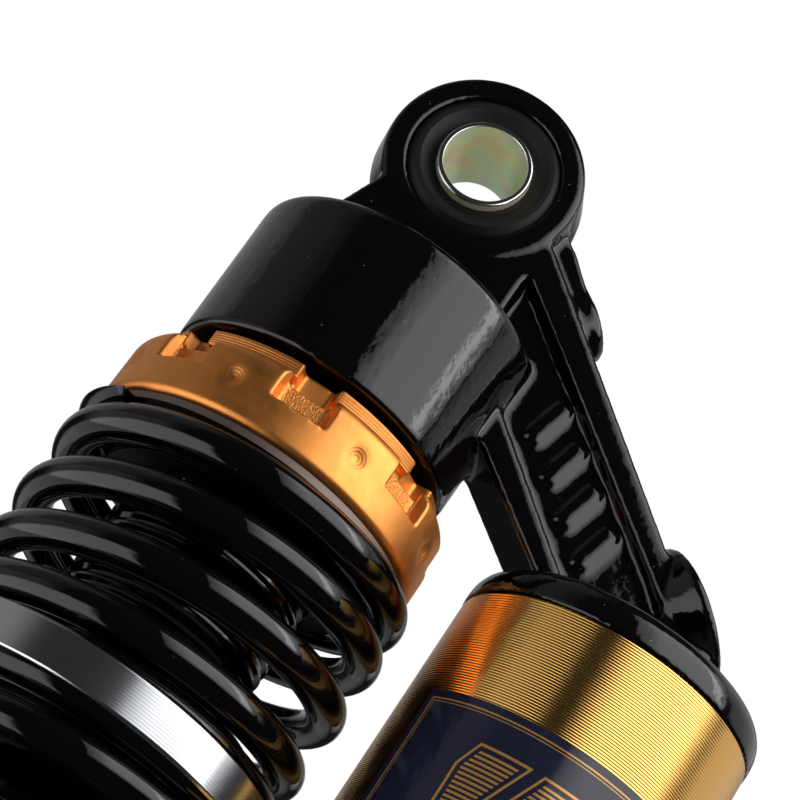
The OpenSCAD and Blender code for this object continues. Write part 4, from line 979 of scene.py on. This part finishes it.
# %% Both springs
UPPER_TOP, UPPER_LENGTH, UPPER_TURNS, UPPER_FACING = -71.3, 39.1, 4.9, -139.0
LOWER_TOP, LOWER_LENGTH, LOWER_TURNS, LOWER_FACING = -117.6, 150.35, 12.5, -30.0
UPPER_LEAN, UPPER_SHIFT = (0.037, -0.014), 0.35
upper_spring = coil("upper_spring_wire", UPPER_TOP, UPPER_LENGTH, UPPER_TURNS, UPPER_FACING,
                    lean=UPPER_LEAN, shift=UPPER_SHIFT)
lower_spring = coil("lower_spring_wire", LOWER_TOP, LOWER_LENGTH, LOWER_TURNS, LOWER_FACING)

# %% [markdown]
# The upper spring is squeezed from both ends: by the preload collar above and by the separator
# below. Each blend knows two bodies, so the wire is parted at one turn, and each length follows
# its own end.

# %% Part and blend a spring
def keep_turns(piece, low, high):
    """Drops the wire outside two turns and closes the ends."""
    work = bmesh.new()
    work.from_mesh(piece.data)
    layer = work.verts.layers.float["turn"]
    gone = [f for f in work.faces
            if not low <= sum(v[layer] for v in f.verts) / len(f.verts) <= high]
    bmesh.ops.delete(work, geom=gone, context="FACES")
    rim = [e for e in work.edges if e.is_boundary]
    bmesh.ops.holes_fill(work, edges=rim)
    for edge in rim:
        edge.smooth = False
    bmesh.ops.recalc_face_normals(work, faces=work.faces)
    work.to_mesh(piece.data)
    work.free()


def follow(piece, body_a, body_b, turns, shares):
    """Blends a spring between two bodies, by turn along its wire."""
    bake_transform(piece, body_a, body_b, start=(0, 0, -0.07), end=(0, 0, -0.27))
    turn = np.empty(len(piece.data.vertices), np.float32)
    piece.data.attributes["turn"].data.foreach_get("value", turn)
    weights = np.interp(turn, turns, shares).astype(np.float32)
    piece.data.attributes["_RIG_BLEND"].data.foreach_set("value", weights)
    print(piece.name, "follows", body_a, "to", body_b, "by", shares)


print("a spring has its turn at", len(upper_spring.data.vertices), "points")

# %% [markdown]
# The separator moves 0.15 of the stroke, which is how the two springs share the load. The turns
# that lie closed at an end move with it as one.

# %% Springs that follow the motion
PART_TURN = 2.364
SEPARATOR_SHARE = 0.15

upper_rest = upper_spring.copy()
upper_rest.data = upper_spring.data.copy()
upper_rest.name = "upper_spring_wire_lower_turns"
scene.collection.objects.link(upper_rest)
keep_turns(upper_spring, -math.inf, PART_TURN)
keep_turns(upper_rest, PART_TURN, math.inf)
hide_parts("upper_spring")
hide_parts("lower_spring")
follow(upper_spring, "upper_body", "preload_seat", (1.0, PART_TURN), (1.0, 0.0))
follow(upper_rest, "upper_body", "lower_body", (PART_TURN, UPPER_TURNS - 1), (0.0, SEPARATOR_SHARE))
follow(lower_spring, "upper_body", "lower_body", (1.0, LOWER_TURNS - 1), (SEPARATOR_SHARE, 1.0))

# %% [markdown]
# ## Parts with broken edges
# Turned and milled parts have their edges broken by a few tenths of a millimetre, and those
# thin edges are what catches the light. A limited dissolve joins the flat triangles and a small
# bevel rounds the sharp edges. Voxels would cost far more triangles here and soften flat faces.

# %% Bevelled copies
FLAT, SHARP = math.radians(0.6), math.radians(28)


def broken_edges(node, finish, width, body):
    """Puts a copy with a small bevel on its sharp edges in a node's place."""
    piece = working_copy(node, node + "_soft")
    work = bmesh.new()
    work.from_mesh(piece.data)
    bmesh.ops.dissolve_limit(work, angle_limit=FLAT, verts=work.verts, edges=work.edges)
    work.to_mesh(piece.data)
    work.free()
    piece.data.shade_smooth()
    bevel = piece.modifiers.new("edges", "BEVEL")
    bevel.width = width * MM
    bevel.segments = 3
    bevel.limit_method = "ANGLE"
    bevel.angle_limit = SHARP
    bevel.use_clamp_overlap = True
    normals = piece.modifiers.new("normals", "WEIGHTED_NORMAL")
    normals.weight = 90
    settle(piece).materials.append(finish)
    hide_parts(node)
    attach(piece, body)
    print(piece.name, triangles(piece.data), "triangles")


broken_edges("upper_bush_sleeve", yellow_zinc, 0.45, "upper_body")
broken_edges("lower_bush_sleeve", yellow_zinc, 0.3, "lower_body")
broken_edges("spring_separator", polished_steel, 0.15, "separator")
broken_edges("rebound_knob", gold_knob, 0.15, "knob")
broken_edges("lower_eye", part_enamel, 0.6, "lower_body")
broken_edges("lower_spring_seat", part_enamel, 0.25, "lower_body")

# %% [markdown]
# ## Finishes for the other CAD nodes
# Their shapes are right as they are, so each one only takes the material of its slot. The seals
# are finer rubber than the bushes, and the washer is duller than other steel.

# %% Finish every node
FINISH = {
    "gold_turned": gold_tube, "gold_anodised": gold_knob, "polished": polished_steel,
    "steel": machined_steel, "chrome": chromed_steel, "rubber": bush_rubber,
    "brass": turned_brass, "bronze": sintered_bronze, "nylon": white_nylon,
    "zinc": yellow_zinc, "label_film": label_film, "black_plastic": black_plastic,
    "bump_foam": bump_foam, "black_gloss": part_enamel,
}
SEALS = ("seal_head_oring", "tube_oring", "end_cap_oring", "reservoir_oring", "shaft_wiper")
for part in frame["record"]["subparts"]:
    node = frame["nodes"][part["node"]]
    node.data.materials.clear()
    node.data.materials.append(FINISH[part["material_slot"]])
for name in SEALS:
    frame["nodes"][name].data.materials[0] = seal_rubber
frame["nodes"]["spring_seat_washer"].data.materials[0] = dull_steel
